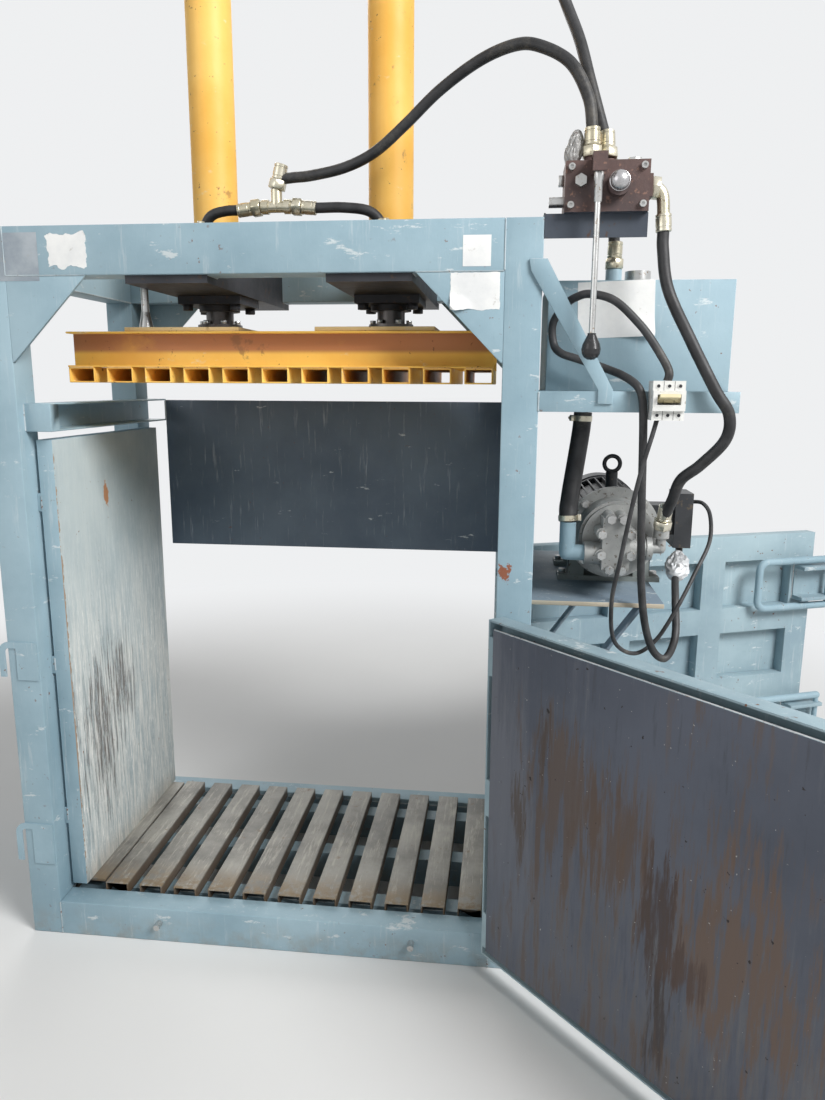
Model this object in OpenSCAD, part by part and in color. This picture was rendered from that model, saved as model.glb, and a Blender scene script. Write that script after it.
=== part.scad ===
// Recycling baler: a down-stroke press with two cylinders, two swinging doors and its power pack.
// Millimetres. The origin is on the ground, under the middle of the base.
// The front faces -Y, the tank and motor are on the +X side, and +Z is up.

/* [Main frame] */
// Width over the corner posts
frame_w = 1444; // [1300:2:1600]
// Depth over the corner posts
frame_d = 810; // [740:2:900]
// Height of the frame
frame_h = 2000; // [1950:5:2100]
// Side of the square post tube
post_s = 90; // [80:1:100]
// Wall of the frame tubes
tube_t = 5; // [3:0.5:7]
// Height of the top beams
beam_h = 120; // [100:1:140]
// Leg of the corner gussets
gusset_leg = 214; // [150:2:260]
// Thickness of the corner gussets
gusset_t = 10; // [6:1:14]
// Height of the sills
sill_h = 105; // [95:1:115]
// Width of the sills
sill_w = 75; // [60:1:85]
// Diameter of the two stub pins on the front sill
stub_d = 18; // [12:1:24]
// Length of the stub pins
stub_l = 26; // [15:1:40]

/* [Floor] */
// Number of floor slats
slat_n = 11; // [8:1:11]
// Width of a slat
slat_w = 70; // [50:1:80]
// Height of a slat
slat_h = 40; // [30:1:50]
// Spacing of the slats
slat_pitch = 107; // [95:1:108]
// Thickness of the folded slats
slat_t = 5; // [3:0.5:8]
// Height of the cross-members under the slats
bearer_h = 88; // [80:1:92]
// Width of the cross-members
bearer_w = 60; // [50:1:80]

/* [Side walls and panels] */
// Depth of the folded wall pans
wall_d = 45; // [35:1:55]
// Sheet thickness of walls and panels
sheet_t = 5; // [3:0.5:6]
// Gap between the left wall and the left posts
wall_gap = 10; // [8:1:14]
// Height of the top edge of the side walls
wall_top = 1462; // [1380:2:1475]
// Underside of the middle side rails
rail_z = 1485; // [1480:1:1500]
// Height and width of the middle side rails
rail_s = 74; // [60:1:80]
// Underside of the rear upper panel
panel_z = 1040; // [1036:1:1080]
// Top of the rear upper panel
panel_top = 1556; // [1540:1:1580]
// Height of the box channel at the foot of the rear panel
band_h = 112; // [80:1:130]

/* [Press platen] */
// Number of platen tubes
tube_n = 11; // [8:1:11]
// Width of a platen tube
ptube_w = 74; // [60:1:80]
// Height of a platen tube
ptube_h = 41; // [35:1:50]
// Spacing of the platen tubes
ptube_pitch = 108; // [90:1:108]
// Length of the platen tubes, front to back
ptube_l = 570; // [500:2:600]
// Gap between the raised platen and the top beams
platen_gap = 118; // [105:1:140]
// Height of the channels across the tubes
chan_h = 94; // [80:1:100]
// Flange width of the channels
chan_f = 45; // [35:1:60]
// Thickness of the two load plates
plate_t = 12; // [8:1:16]
// Width of the two load plates
plate_w = 318; // [260:2:360]

/* [Cylinders] */
// Distance between the two cylinders
cyl_pitch = 515; // [480:1:540]
// Outside diameter of the barrels
barrel_d = 127; // [120:1:134]
// Bore of the barrels
bore_d = 112; // [104:1:114]
// Diameter of the piston rods
rod_d = 80; // [60:1:85]
// Length of the barrels above the bridge plate
barrel_l = 1230; // [1200:5:1300]
// Radial play of rods and pistons
slide_play = 0.05; // [0.02:0.01:0.09]
// Width of the bridges that carry the cylinders
bridge_w = 214; // [200:2:220]
// Thickness of the bridge foot plates
bridge_t = 20; // [12:1:25]

/* [Doors] */
// Length of a door
door_l = 1325; // [1310:1:1390]
// Underside of a door
door_z = 72; // [60:1:80]
// Height of a door
door_h = 958; // [920:1:960]
// Depth of the door frame
door_t = 48; // [42:1:54]
// Width of the door rails
door_rail = 100; // [80:1:110]
// Width of the door stiles and ribs
door_rib = 98; // [90:1:110]
// Distance of the hinge pin in front of the post
pivot_out = 34; // [34:0.5:36]
// Distance of the hinge pin behind the door end
pivot_in = 20; // [16:0.5:20]
// How much higher the rear door hangs
rear_lift = 20; // [0:1:30]
// How far the front door stands open
front_open = 134; // [120:1:140]
// How far the rear door stands open
rear_open = 158.3; // [150:0.1:160]
// Diameter of the hinge pins
hinge_d = 18; // [14:1:20]
// Radial play of the hinge and bail pins
pin_play = 0.05; // [0.02:0.01:0.09]

/* [Door latches] */
// Diameter of the round bar of the bails
bail_d = 28; // [20:1:30]
// Reach of a bail from its pin
bail_l = 321; // [280:1:340]
// Distance of the bail pins past the end of the door
bail_past = 50; // [40:1:60]
// Distance of a bail from the door face
bail_out = 38; // [34:1:44]
// Height between the two bars of an upper bail
bail_h = 184; // [170:2:200]
// Height between the two bars of a lower bail
bail_low_h = 150; // [140:2:170]
// Thickness of the keeper straps on the left posts
keeper_t = 4; // [3:0.25:4.5]

/* [Power pack] */
// Width of the oil tank
tank_w = 453; // [400:1:480]
// Depth of the oil tank
tank_d = 400; // [360:2:440]
// Height of the oil tank
tank_h = 270; // [240:2:300]
// Underside of the oil tank
tank_z = 1600; // [1590:1:1610]
// Height of the motor platform
platform_z = 1058; // [1040:1:1070]
// Width of the flat braces under the platform
brace_w = 50; // [30:1:70]
// Height of the motor shaft above the platform
shaft_up = 152; // [140:1:160]
// Outside diameter of the motor body
motor_d = 240; // [220:2:250]
// Number of cooling ribs on the motor
motor_ribs = 32; // [24:2:40]
// Length of the ribbed motor body
motor_l = 330; // [300:5:350]
// Diameter of the motor shaft
shaft_d = 28; // [22:1:32]
// Number of bolts round the pump cover
pump_bolts = 8; // [6:1:10]

/* [Valve] */
// Width of the valve block
valve_w = 190; // [160:1:200]
// Height of the valve block
valve_h = 110; // [90:1:120]
// Diameter of the lever rod
lever_d = 14; // [10:0.5:18]
// Diameter of the lever knob
knob_d = 45; // [35:1:55]
// Diameter of the valve spool
spool_d = 24; // [18:0.5:28]

/* [Hoses and cables] */
// Outside diameter of the pressure hoses
hose_d = 28; // [22:0.5:30]
// Outside diameter of the suction hose
suction_d = 48; // [40:1:52]
// Outside diameter of the supply cable
cable_d = 20; // [12:0.5:22]
// Outside diameter of the thin cable
thin_d = 11; // [8:0.5:14]

/* [View] */
// Which sub-part to draw

/* [Hidden] */
$fn = 40;
paint = [0.60, 0.70, 0.75];
dark = [0.30, 0.34, 0.40];
worn = [0.52, 0.50, 0.44];
ochre = [0.95, 0.72, 0.32];
steel = [0.62, 0.63, 0.64];
black = [0.10, 0.10, 0.11];
cast = [0.55, 0.56, 0.54];
rust = [0.45, 0.25, 0.18];

hw = frame_w / 2;
hd = frame_d / 2;
ix = hw - post_s;
iy = hd - post_s;
beam_z = frame_h - beam_h;
floor_z = bearer_h + slat_h;
sill_y = hd - sill_w;
slat_x0 = 42 - (slat_n * slat_pitch - (slat_pitch - slat_w)) / 2;
wall_x = -ix + wall_gap;
wall_in = wall_x + wall_d;
edge_x = wall_in + 42;
ptube_x0 = 31 - (tube_n * ptube_pitch - (ptube_pitch - ptube_w)) / 2;
ptube_x1 = ptube_x0 + tube_n * ptube_pitch - (ptube_pitch - ptube_w);
platen_z = beam_z - platen_gap - plate_t - chan_h - ptube_h;
chan_z = platen_z + ptube_h;
plate_z = chan_z + chan_h;
rod_z = plate_z + plate_t;
cyl_x = [45.5 - cyl_pitch / 2, 45.5 + cyl_pitch / 2];
bridge_z = beam_z - bridge_t;
gland_z = bridge_z - 22;
barrel_top = bridge_z + barrel_l;
guide_x = -333;
guide_y = -250;

pivot_x = ix + 14;
pivot_y = hd + pivot_out;
door_x1 = pivot_x + pivot_in;
door_in = pivot_y - 24;
door_out = door_in + door_t;
liner_in = 22;
ear_t = 16;
ear_dz = [78, 470, 862];
notch_l = 92;
rail_pitch = (door_h - door_rail) / 3;
rib_s = [0, door_rib + 336, 2 * door_rib + 632, door_l - door_rib];
bail_z = [836, 287];
bail_pin_s = door_l + bail_past;
weld_gap = 0.2;
stub_z = door_z - stub_d / 2 - 3;
strap_in = 197;
strap_pitch = (wall_top - floor_z - 2 * strap_in) / 2;
bail_pin_d = 20;

tank_x = hw + 20;
tank_y = -290;
shaft_x = 950;
shaft_z = platform_z + shaft_up;
motor_y = -125;
bell_y = -190;
pump_y = -330;
valve_x = hw + 43;
valve_y = -425;
valve_z = frame_h + 6;
lever_x = 838;
lever_y = -450;
lever_z = frame_h + 97;
plat_x1 = hw + 343;
plat_y = iy + 25;
brace_x = 281;
brace_drop = 406;
brace_t = 10;
suction_x = 814;
suction_top = shaft_z + 52;
breaker_x = 982;
breaker_z = 1534;

module box(x0, x1, y0, y1, z0, z1) {
  translate([x0, y0, z0]) cube([x1 - x0, y1 - y0, z1 - z0]);
}

module tube_x(x0, x1, y0, y1, z0, z1, t) {
  difference() {
    box(x0, x1, y0, y1, z0, z1);
    box(x0 - 1, x1 + 1, y0 + t, y1 - t, z0 + t, z1 - t);
  }
}

module tube_y(x0, x1, y0, y1, z0, z1, t) {
  difference() {
    box(x0, x1, y0, y1, z0, z1);
    box(x0 + t, x1 - t, y0 - 1, y1 + 1, z0 + t, z1 - t);
  }
}

module rod_y(x, y0, y1, z, d) {
  translate([x, y0, z]) rotate([-90, 0, 0]) cylinder(h = y1 - y0, d = d);
}

module rod_x(x0, x1, y, z, d) {
  translate([x0, y, z]) rotate([0, 90, 0]) cylinder(h = x1 - x0, d = d);
}

module rod_z(x, y, z0, z1, d) {
  translate([x, y, z0]) cylinder(h = z1 - z0, d = d);
}

module both_sides() {
  children();
  mirror([1, 0, 0]) children();
}

module front_and_back() {
  children();
  mirror([0, 1, 0]) children();
}

// Base and floor

module sills() {
  color(paint) front_and_back() tube_x(-ix, ix, sill_y, hd, 0, sill_h, tube_t);
}

module side_sills() {
  color(paint) both_sides() tube_y(ix, hw, -iy, iy, 0, sill_h, tube_t);
}

module floor_bearers() {
  color(paint) for (y = [-260, 0, 260])
    tube_x(-ix, ix, y - bearer_w / 2, y + bearer_w / 2, 0, bearer_h, tube_t);
}

module floor_edge() {
  color(worn) {
    box(-ix, -ix + 5, -iy, iy, bearer_h, floor_z);
    box(-ix, edge_x, -iy, iy, floor_z - 8, floor_z);
  }
}

module floor_slats() {
  color(worn) for (i = [0 : slat_n - 1])
    translate([slat_x0 + i * slat_pitch, 0, 0]) difference() {
      box(0, slat_w, -sill_y + 1, sill_y - 1, bearer_h, floor_z);
      box(slat_t, slat_w - slat_t, -hd, hd, bearer_h - 1, floor_z - slat_t);
    }
}

module sill_pins() {
  color(steel) {
    rod_y(-327, -hd - stub_l, -hd, stub_z, stub_d);
    rod_y(416, -hd - stub_l, -hd, stub_z, stub_d);
  }
}

// Posts, beams and panels

module post() {
  difference() {
    box(ix, hw, iy, hd, 0, frame_h);
    box(ix + tube_t, hw - tube_t, iy + tube_t, hd - tube_t, -1, frame_h - tube_t);
  }
}

module front_posts() {
  color(paint) both_sides() mirror([0, 1, 0]) post();
}

module rear_posts() {
  color(paint) both_sides() post();
}

module top_beams() {
  color(paint) front_and_back() tube_x(-ix, ix, iy, hd, beam_z, frame_h, tube_t);
}

module top_side_rails() {
  color(paint) both_sides() tube_y(ix, hw, -iy, iy, beam_z, frame_h, tube_t);
}

module gussets() {
  color(paint) front_and_back() both_sides()
    translate([0, hd, 0]) rotate([90, 0, 0]) linear_extrude(gusset_t)
      polygon([[ix, beam_z], [ix - gusset_leg, beam_z], [ix - 4, beam_z - gusset_leg],
               [ix, beam_z - gusset_leg]]);
}

module bridge(x) {
  difference() {
    union() {
      box(x - bridge_w / 2, x + bridge_w / 2, -hd + 12, hd - 12, bridge_z, beam_z);
      box(x - bridge_w / 2, x - bridge_w / 2 + 36, -iy, iy, beam_z - 1, frame_h - 8);
      box(x + bridge_w / 2 - 36, x + bridge_w / 2, -iy, iy, beam_z - 1, frame_h - 8);
      box(x - bridge_w / 2, x + bridge_w / 2, -160, -150, beam_z - 1, frame_h - 8);
      box(x - bridge_w / 2, x + bridge_w / 2, 150, 160, beam_z - 1, frame_h - 8);
    }
    rod_z(x, 0, bridge_z - 1, frame_h, barrel_d + 2);
  }
}

module cylinder_bridges() {
  color(dark) {
    bridge(cyl_x[0]);
    bridge(cyl_x[1]);
    difference() {
      box(guide_x - 22, cyl_x[0] - bridge_w / 2, -iy, guide_y + 22, beam_z, beam_z + 12);
      rod_z(guide_x, guide_y, beam_z - 1, beam_z + 13, 20.1);
    }
  }
}

module side_rails() {
  color(paint) difference() {
    box(-ix, -ix + rail_s, -hd + 31, hd - 15, rail_z, rail_z + rail_s + 1);
    box(-ix + 5, -ix + rail_s + 1, -hd + 75, hd - 14, rail_z + 5, rail_z + rail_s - 4);
  }
  color(paint) difference() {
    box(ix, ix + rail_s, -iy, iy, rail_z, rail_z + rail_s + 1);
    box(ix + 5, ix + rail_s + 1, -iy - 1, iy + 1, rail_z + 5, rail_z + rail_s - 4);
  }
}

module side_wall_left() {
  color(paint) {
    difference() {
      box(wall_x, wall_in, -iy - 30, iy + 20, floor_z, wall_top);
      box(wall_x - 1, wall_in - sheet_t, -iy - 30 + sheet_t, iy + 20 - sheet_t,
          floor_z + sheet_t, wall_top - sheet_t);
    }
    for (k = [0 : 2]) {
      z = floor_z + strap_in + k * strap_pitch;
      box(-ix, wall_x + 2, -iy - 30, -iy - 12, z, z + 50);
      box(-ix, wall_x + 2, iy + 2, iy + 20, z, z + 50);
    }
    for (z = [560, 1010])
      box(wall_x + 5, wall_in - sheet_t + 1, -iy - 27, iy + 17, z, z + 6);
  }
}

module side_wall_right() {
  color(paint) {
    difference() {
      box(ix, ix + wall_d, -iy, iy, sill_h, wall_top);
      box(ix + sheet_t, ix + wall_d + 1, -iy + sheet_t, iy - sheet_t, sill_h + sheet_t, wall_top - sheet_t);
    }
    for (z = [560, 1010])
      box(ix + sheet_t - 1, ix + wall_d - 5, -iy + 2, iy - 2, z, z + 6);
  }
}

module rear_panel() {
  x0 = -ix + rail_s;
  y = hd - 25;
  color(paint) {
    box(x0, ix, y, y + sheet_t, panel_z, panel_top);
    difference() {
      box(x0, ix, y, hd, panel_z, panel_z + band_h);
      box(x0 - 1, ix + 1, y + 4, hd - 5, panel_z + 5, panel_z + band_h - 5);
    }
    box(x0, ix, y + 1, hd, panel_top - 6, panel_top);
    for (i = [0 : 3])
      translate([x0 + i * (ix - x0 - 8) / 3, 0, 0])
        box(0, 8, y + 1, hd, panel_z + band_h - 1, panel_top - 5);
  }
}

// Rear keepers and ears hang a little higher, with their door
module front_and_lifted_back() {
  translate([0, 0, rear_lift]) children();
  mirror([0, 1, 0]) children();
}

// Keepers of the latches, on both left posts: a foot, an arch past the post and a free leg
module keeper_plan(h) {
  foot = 62;
  r = 30;
  t = 18;
  x = hw + 26 - ix - 3;
  translate([x - foot, 0]) square([foot, h]);
  difference() {
    union() {
      translate([r, h - r]) circle(r);
      translate([r, h - r]) square([x - foot - r + 1, r]);
      translate([0, 8]) square([t + 10, h - r - 8]);
    }
    translate([r, h - r]) circle(r - t);
    translate([r, h - r - 1]) square([x - foot - r, r - t + 1]);
    translate([t, 0]) square([x - foot - t, h - r]);
  }
}

module keeper(z, h) {
  translate([-hw - 26, hd, z]) rotate([90, 0, 0]) translate([0, 0, -keeper_t])
    linear_extrude(keeper_t) keeper_plan(h);
}

module keepers() {
  color(paint) front_and_lifted_back() {
    keeper(bail_z[0] - 41, 110);
    keeper(bail_z[1] - 59, 126);
  }
}

// An ear is welded to the post with its pin standing in it
module ear(z) {
  translate([pivot_x, pivot_y, z]) {
    translate([0, 0, -ear_t / 2]) linear_extrude(ear_t) union() {
      circle(r = 14);
      translate([0, -14]) square([64, 28]);
      translate([26, -pivot_out]) square([38, pivot_out]);
    }
    translate([0, 0, ear_t / 2 - 1]) cylinder(h = 6.5, r = 14);
    translate([0, 0, -44]) cylinder(h = 88, d = hinge_d);
  }
}

module hinge_ears() {
  color(dark) front_and_lifted_back() for (dz = ear_dz) ear(door_z + dz);
}

// Doors, drawn closed behind the rear posts; the front one is mirrored

module door_plan(m) {
  difference() {
    translate([door_x1 - door_l + m, door_z + m]) square([door_l - 2 * m, door_h - 2 * m]);
    for (i = [0 : 2])
      for (j = [0 : 2])
        translate([door_x1 - rib_s[i + 1] - m, door_z + door_rail + j * rail_pitch - m])
          square([rib_s[i + 1] - rib_s[i] - door_rib + 2 * m, rail_pitch - door_rail + 2 * m]);
  }
}

module slab(y0, y1) {
  translate([0, y1, 0]) rotate([90, 0, 0]) linear_extrude(y1 - y0) children();
}

module door_frame() {
  difference() {
    union() {
      difference() {
        slab(door_in, door_out) door_plan(0);
        slab(door_in - 1, door_out - sheet_t) door_plan(sheet_t);
      }
      for (dz = ear_dz)
        box(door_x1 - door_rib + 2, door_x1 - 1, door_in, door_out - 1, door_z + dz - 52, door_z + dz + 52);
    }
    for (dz = ear_dz) {
      box(door_x1 - notch_l, door_x1 + 1, door_in + 5, door_out + 1, door_z + dz - 14, door_z + dz + 14);
      rod_z(pivot_x, pivot_y, door_z + dz - 60, door_z + dz + 60, hinge_d + 2 * pin_play);
    }
  }
}

module door_liner() {
  slab(door_in - 5, door_in) translate([door_x1 - door_l + liner_in, door_z + liner_in])
    square([door_l - 2 * liner_in, door_h - 2 * liner_in]);
}

module latch_bracket(z, h) {
  x = door_x1 - bail_pin_s;
  difference() {
    union() {
      box(x - 15, x + 135, door_out + weld_gap, door_out + 8, z - h / 2, z + h / 2);
      box(x - 15, x + 135, door_out + weld_gap, door_out + 60, z - h / 2, z - h / 2 + 14);
      box(x - 15, x + 135, door_out + weld_gap, door_out + 60, z + h / 2 - 14, z + h / 2);
    }
    rod_z(x, door_out + bail_out, z - h, z + h, bail_pin_d + 2 * pin_play);
  }
}

module bail(z, h) {
  x = door_x1 - bail_pin_s;
  y = door_out + bail_out;
  r = 34;
  rod_z(x, y, z - h / 2 - 5, z + h / 2 + 5, bail_pin_d);
  for (s = [-1, 1]) {
    rod_x(x, x + bail_l - r, y, z + s * h / 2, bail_d);
    translate([x, y, z + s * h / 2]) sphere(d = bail_d);
    translate([x + bail_l - r, y, z + s * (h / 2 - r)]) rotate([90, 0, 0]) rotate([0, 0, s > 0 ? 0 : -90])
      rotate_extrude(angle = 90) translate([r, 0]) circle(d = bail_d);
  }
  rod_z(x + bail_l, y, z - h / 2 + r, z + h / 2 - r, bail_d);
}

module rear_open_place() {
  translate([pivot_x, pivot_y, rear_lift]) rotate([0, 0, -rear_open])
    translate([-pivot_x, -pivot_y, 0]) children();
}

module front_open_place() {
  mirror([0, 1, 0]) translate([pivot_x, pivot_y, 0]) rotate([0, 0, -front_open])
    translate([-pivot_x, -pivot_y, 0]) children();
}

module door_with_brackets() {
  door_frame();
  latch_bracket(bail_z[0], 136);
  latch_bracket(bail_z[1], 94);
}

module front_door_frame() {
  color(paint) front_open_place() door_with_brackets();
}

module front_door_liner() {
  color(dark) front_open_place() door_liner();
}

module rear_door_frame() {
  color(paint) rear_open_place() door_with_brackets();
}

module rear_door_liner() {
  color(dark) rear_open_place() door_liner();
}

module front_bail_upper() {
  color(dark) front_open_place() bail(bail_z[0], bail_h);
}

module front_bail_lower() {
  color(dark) front_open_place() bail(bail_z[1], bail_low_h);
}

module rear_bail_upper() {
  color(dark) rear_open_place() bail(bail_z[0], bail_h);
}

module rear_bail_lower() {
  color(dark) rear_open_place() bail(bail_z[1], bail_low_h);
}

// Cylinders

module barrel(x) {
  difference() {
    union() {
      rod_z(x, 0, bridge_z, barrel_top, barrel_d);
      rod_z(x, 0, barrel_top - 24, barrel_top + 20, barrel_d + 14);
      rod_y(x, -barrel_d / 2 - 24, -barrel_d / 2 + 4, frame_h - 60, 42);
      rod_y(x, -barrel_d / 2 - 24, -barrel_d / 2 + 4, barrel_top - 60, 42);
    }
    rod_z(x, 0, bridge_z - 1, barrel_top, bore_d);
    rod_y(x, -barrel_d / 2 - 30, -bore_d / 2 + 8, frame_h - 60, 18);
    rod_y(x, -barrel_d / 2 - 30, -bore_d / 2 + 8, barrel_top - 60, 18);
  }
}

module cylinder_barrels() {
  color(ochre) for (x = cyl_x) barrel(x);
}

module cylinder_glands() {
  color(dark) for (x = cyl_x) difference() {
    union() {
      box(x - 92, x + 92, -92, 92, gland_z, bridge_z);
      rod_z(x, 0, gland_z - 16, gland_z + 1, rod_d + 38);
      for (a = [45, 135, 225, 315])
        rod_z(x + 100 * cos(a), 100 * sin(a), gland_z - 14, gland_z + 1, 26);
    }
    rod_z(x, 0, gland_z - 20, bridge_z + 1, rod_d + 2 * slide_play);
  }
}

module platen_tubes() {
  color(ochre) for (i = [0 : tube_n - 1]) translate([ptube_x0 + i * ptube_pitch, 0, 0])
    tube_y(0, ptube_w, -ptube_l / 2, ptube_l / 2, platen_z, chan_z, 4);
}

module platen_channels() {
  color(ochre) front_and_back() difference() {
    box(ptube_x0 - 2, ptube_x1 + 1, ptube_l / 2 - chan_f, ptube_l / 2, chan_z, plate_z);
    box(ptube_x0 - 3, ptube_x1 + 2, ptube_l / 2 - chan_f + 5, ptube_l / 2 + 1, chan_z + 5, plate_z - 5);
  }
}

module platen_plates() {
  color(ochre) for (x = [cyl_x[0] - 16, cyl_x[1] - 7])
    box(x - plate_w / 2, x + plate_w / 2, -ptube_l / 2 + 15, ptube_l / 2 - 15, plate_z, rod_z);
}

module piston_rod(x) {
  rod_z(x, 0, rod_z, barrel_top - 70, rod_d);
  rod_z(x, 0, rod_z, rod_z + 22, rod_d + 50);
  for (a = [0 : 60 : 300])
    rod_z(x + (rod_d / 2 + 13) * cos(a), (rod_d / 2 + 13) * sin(a), rod_z + 21, rod_z + 32, 15);
}

module piston_rods() {
  color(dark) for (x = cyl_x) piston_rod(x);
}

module pistons() {
  color(steel) for (x = cyl_x) difference() {
    rod_z(x, 0, barrel_top - 140, barrel_top - 80, bore_d - 2 * slide_play);
    rod_z(x, 0, barrel_top - 141, barrel_top - 79, rod_d);
  }
}

module guide_rod() {
  color(steel) {
    rod_z(guide_x, guide_y, rod_z + 10, beam_z + 52, 20);
    translate([guide_x, guide_y, rod_z]) cylinder(h = 40, d1 = 38, d2 = 22);
  }
}

// Elbows on the barrel ports and the two tees that feed them
module hose_fittings() {
  color(steel) {
    for (x = cyl_x) {
      elbow(x, frame_h - 60);
      elbow(x, barrel_top - 60);
    }
    tee(6, -130, frame_h + 88);
    tee(6, -130, barrel_top + 88);
  }
}

module elbow(x, z) {
  y = -barrel_d / 2 - 24;
  rod_y(x, y - 26, y, z, 30);
  translate([x, y - 26, z]) sphere(d = 30);
  rod_z(x, y - 26, z, z + 50, 30);
}

module tee(x, y, z) {
  rod_x(x - 44, x + 44, y, z, 30);
  rod_z(x, y, z, z + 44, 30);
  for (s = [-31, 31])
    rod_x(x + s - 9, x + s + 9, y, z, 38);
}

// Oil tank, valve and line fittings

module tank_shelf() {
  x1 = tank_x + tank_w;
  color(paint) {
    for (y = [-hd, tank_y, tank_y + tank_d - 56])
      difference() {
        box(hw, x1, y, y + 56, tank_z - 50, tank_z);
        box(hw - 1, x1 + 1, y + 6, y + 57, tank_z - 51, tank_z - 6);
      }
    box(x1 - 6, x1, -hd + 6, tank_y + tank_d - 1, tank_z - 50, tank_z);
    box(hw, hw + 6, -hd + 6, tank_y + tank_d - 1, tank_z - 50, tank_z);
    translate([0, -hd, 0]) rotate([90, 0, 0]) linear_extrude(6)
      polygon([[ix + 58, beam_z + 26], [ix + 62, beam_z], [hw + 141, tank_z + 3], [hw + 141, tank_z - 30],
               [hw + 176, tank_z - 30], [hw + 176, tank_z + 3], [hw + 10, beam_z + 26]]);
  }
}

module tank() {
  color(paint) {
    difference() {
      box(tank_x, tank_x + tank_w, tank_y, tank_y + tank_d, tank_z, tank_z + tank_h);
      box(tank_x + 4, tank_x + tank_w - 4, tank_y + 4, tank_y + tank_d - 4, tank_z + 4, tank_z + tank_h - 4);
      rod_z(904, tank_y + 40, tank_z + tank_h - 5, tank_z + tank_h + 1, 20);
      rod_z(975, tank_y + 120, tank_z + tank_h - 5, tank_z + tank_h + 1, 60);
      rod_z(848, tank_y + 90, tank_z - 1, tank_z + 5, 40);
    }
    difference() {
      rod_z(904, tank_y + 40, tank_z + tank_h - 1, tank_z + tank_h + 30, 40);
      rod_z(904, tank_y + 40, tank_z + tank_h - 5, tank_z + tank_h + 31, 20);
    }
    difference() {
      rod_z(848, tank_y + 90, tank_z - 56, tank_z + 1, 48);
      rod_z(848, tank_y + 90, tank_z - 57, tank_z + 5, 40);
    }
  }
}

module tank_lid() {
  color(steel) {
    rod_z(975, tank_y + 120, tank_z + tank_h, tank_z + tank_h + 10, 90);
    rod_z(975, tank_y + 120, tank_z + tank_h + 9, tank_z + tank_h + 34, 66);
  }
}

module valve_block() {
  x1 = valve_x + valve_w;
  color(paint) difference() {
    box(hw, x1 + 3, -hd, -iy, frame_h - 48, frame_h + 6);
    box(hw - 1, x1 + 4, -hd + 6, -iy + 1, frame_h - 49, frame_h);
  }
  color(rust) difference() {
    union() {
      box(valve_x, x1, valve_y, valve_y + 100, valve_z - 1, valve_z + valve_h);
      box(x1 - 60, x1 + 10, valve_y + 20, valve_y + 80, valve_z + 34, valve_z + 84);
      rod_y(lever_x + 47, valve_y - 24, valve_y + 1, valve_z + 54, 50);
      rod_z(827, valve_y + 50, valve_z + valve_h - 1, valve_z + valve_h + 16, 36);
      rod_z(866, valve_y + 70, valve_z + valve_h - 1, valve_z + valve_h + 16, 36);
      rod_y(850, valve_y + 99, valve_y + 112, valve_z + 74, 36);
      clevis();
    }
    rod_x(valve_x - 1, x1 - 30, valve_y + 50, valve_z + 30, spool_d + 2 * slide_play);
  }
}

// Two cheeks with the pin that the lever turns on
module clevis() {
  box(lever_x - 16, lever_x + 16, lever_y - 24, lever_y - 16, lever_z - 14, lever_z + 26);
  box(lever_x - 16, lever_x + 16, lever_y + 16, valve_y + 1, lever_z - 14, lever_z + 26);
  box(lever_x - 16, lever_x + 16, lever_y - 24, valve_y + 1, lever_z + 20, lever_z + 26);
  rod_y(lever_x, lever_y - 24, valve_y + 1, lever_z, 12);
}

module valve_lever() {
  color(steel) difference() {
    union() {
      rod_y(lever_x, lever_y - 12, lever_y + 12, lever_z, 28);
      rod_z(lever_x, lever_y, lever_z - 370, lever_z - 4, lever_d);
    }
    rod_y(lever_x, lever_y - 13, lever_y + 13, lever_z, 12 + 2 * pin_play);
  }
  color(black) translate([lever_x, lever_y, lever_z - 400]) rotate_extrude()
    polygon([[0, -25], [8, -24], [16, -19], [21, -11], [knob_d / 2, 0], [20, 12], [14, 24],
             [10, 32], [10, 36], [0, 36]]);
}

module valve_spool() {
  color(steel) rod_x(valve_x - 34, valve_x + valve_w - 60, valve_y + 50, valve_z + 30, spool_d);
}

// Motor and pump

module motor_platform() {
  under = platform_z - 12;
  color(paint) {
    box(hw, plat_x1, -plat_y, plat_y, under, platform_z);
    front_and_back()
      translate([0, plat_y, 0]) rotate([90, 0, 0]) linear_extrude(brace_w)
        polygon([[hw, under - brace_drop], [hw + brace_x, under + 1], [hw + brace_x + brace_t, under + 1],
                 [hw, under - brace_drop - brace_t * brace_drop / brace_x]]);
  }
}

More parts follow.
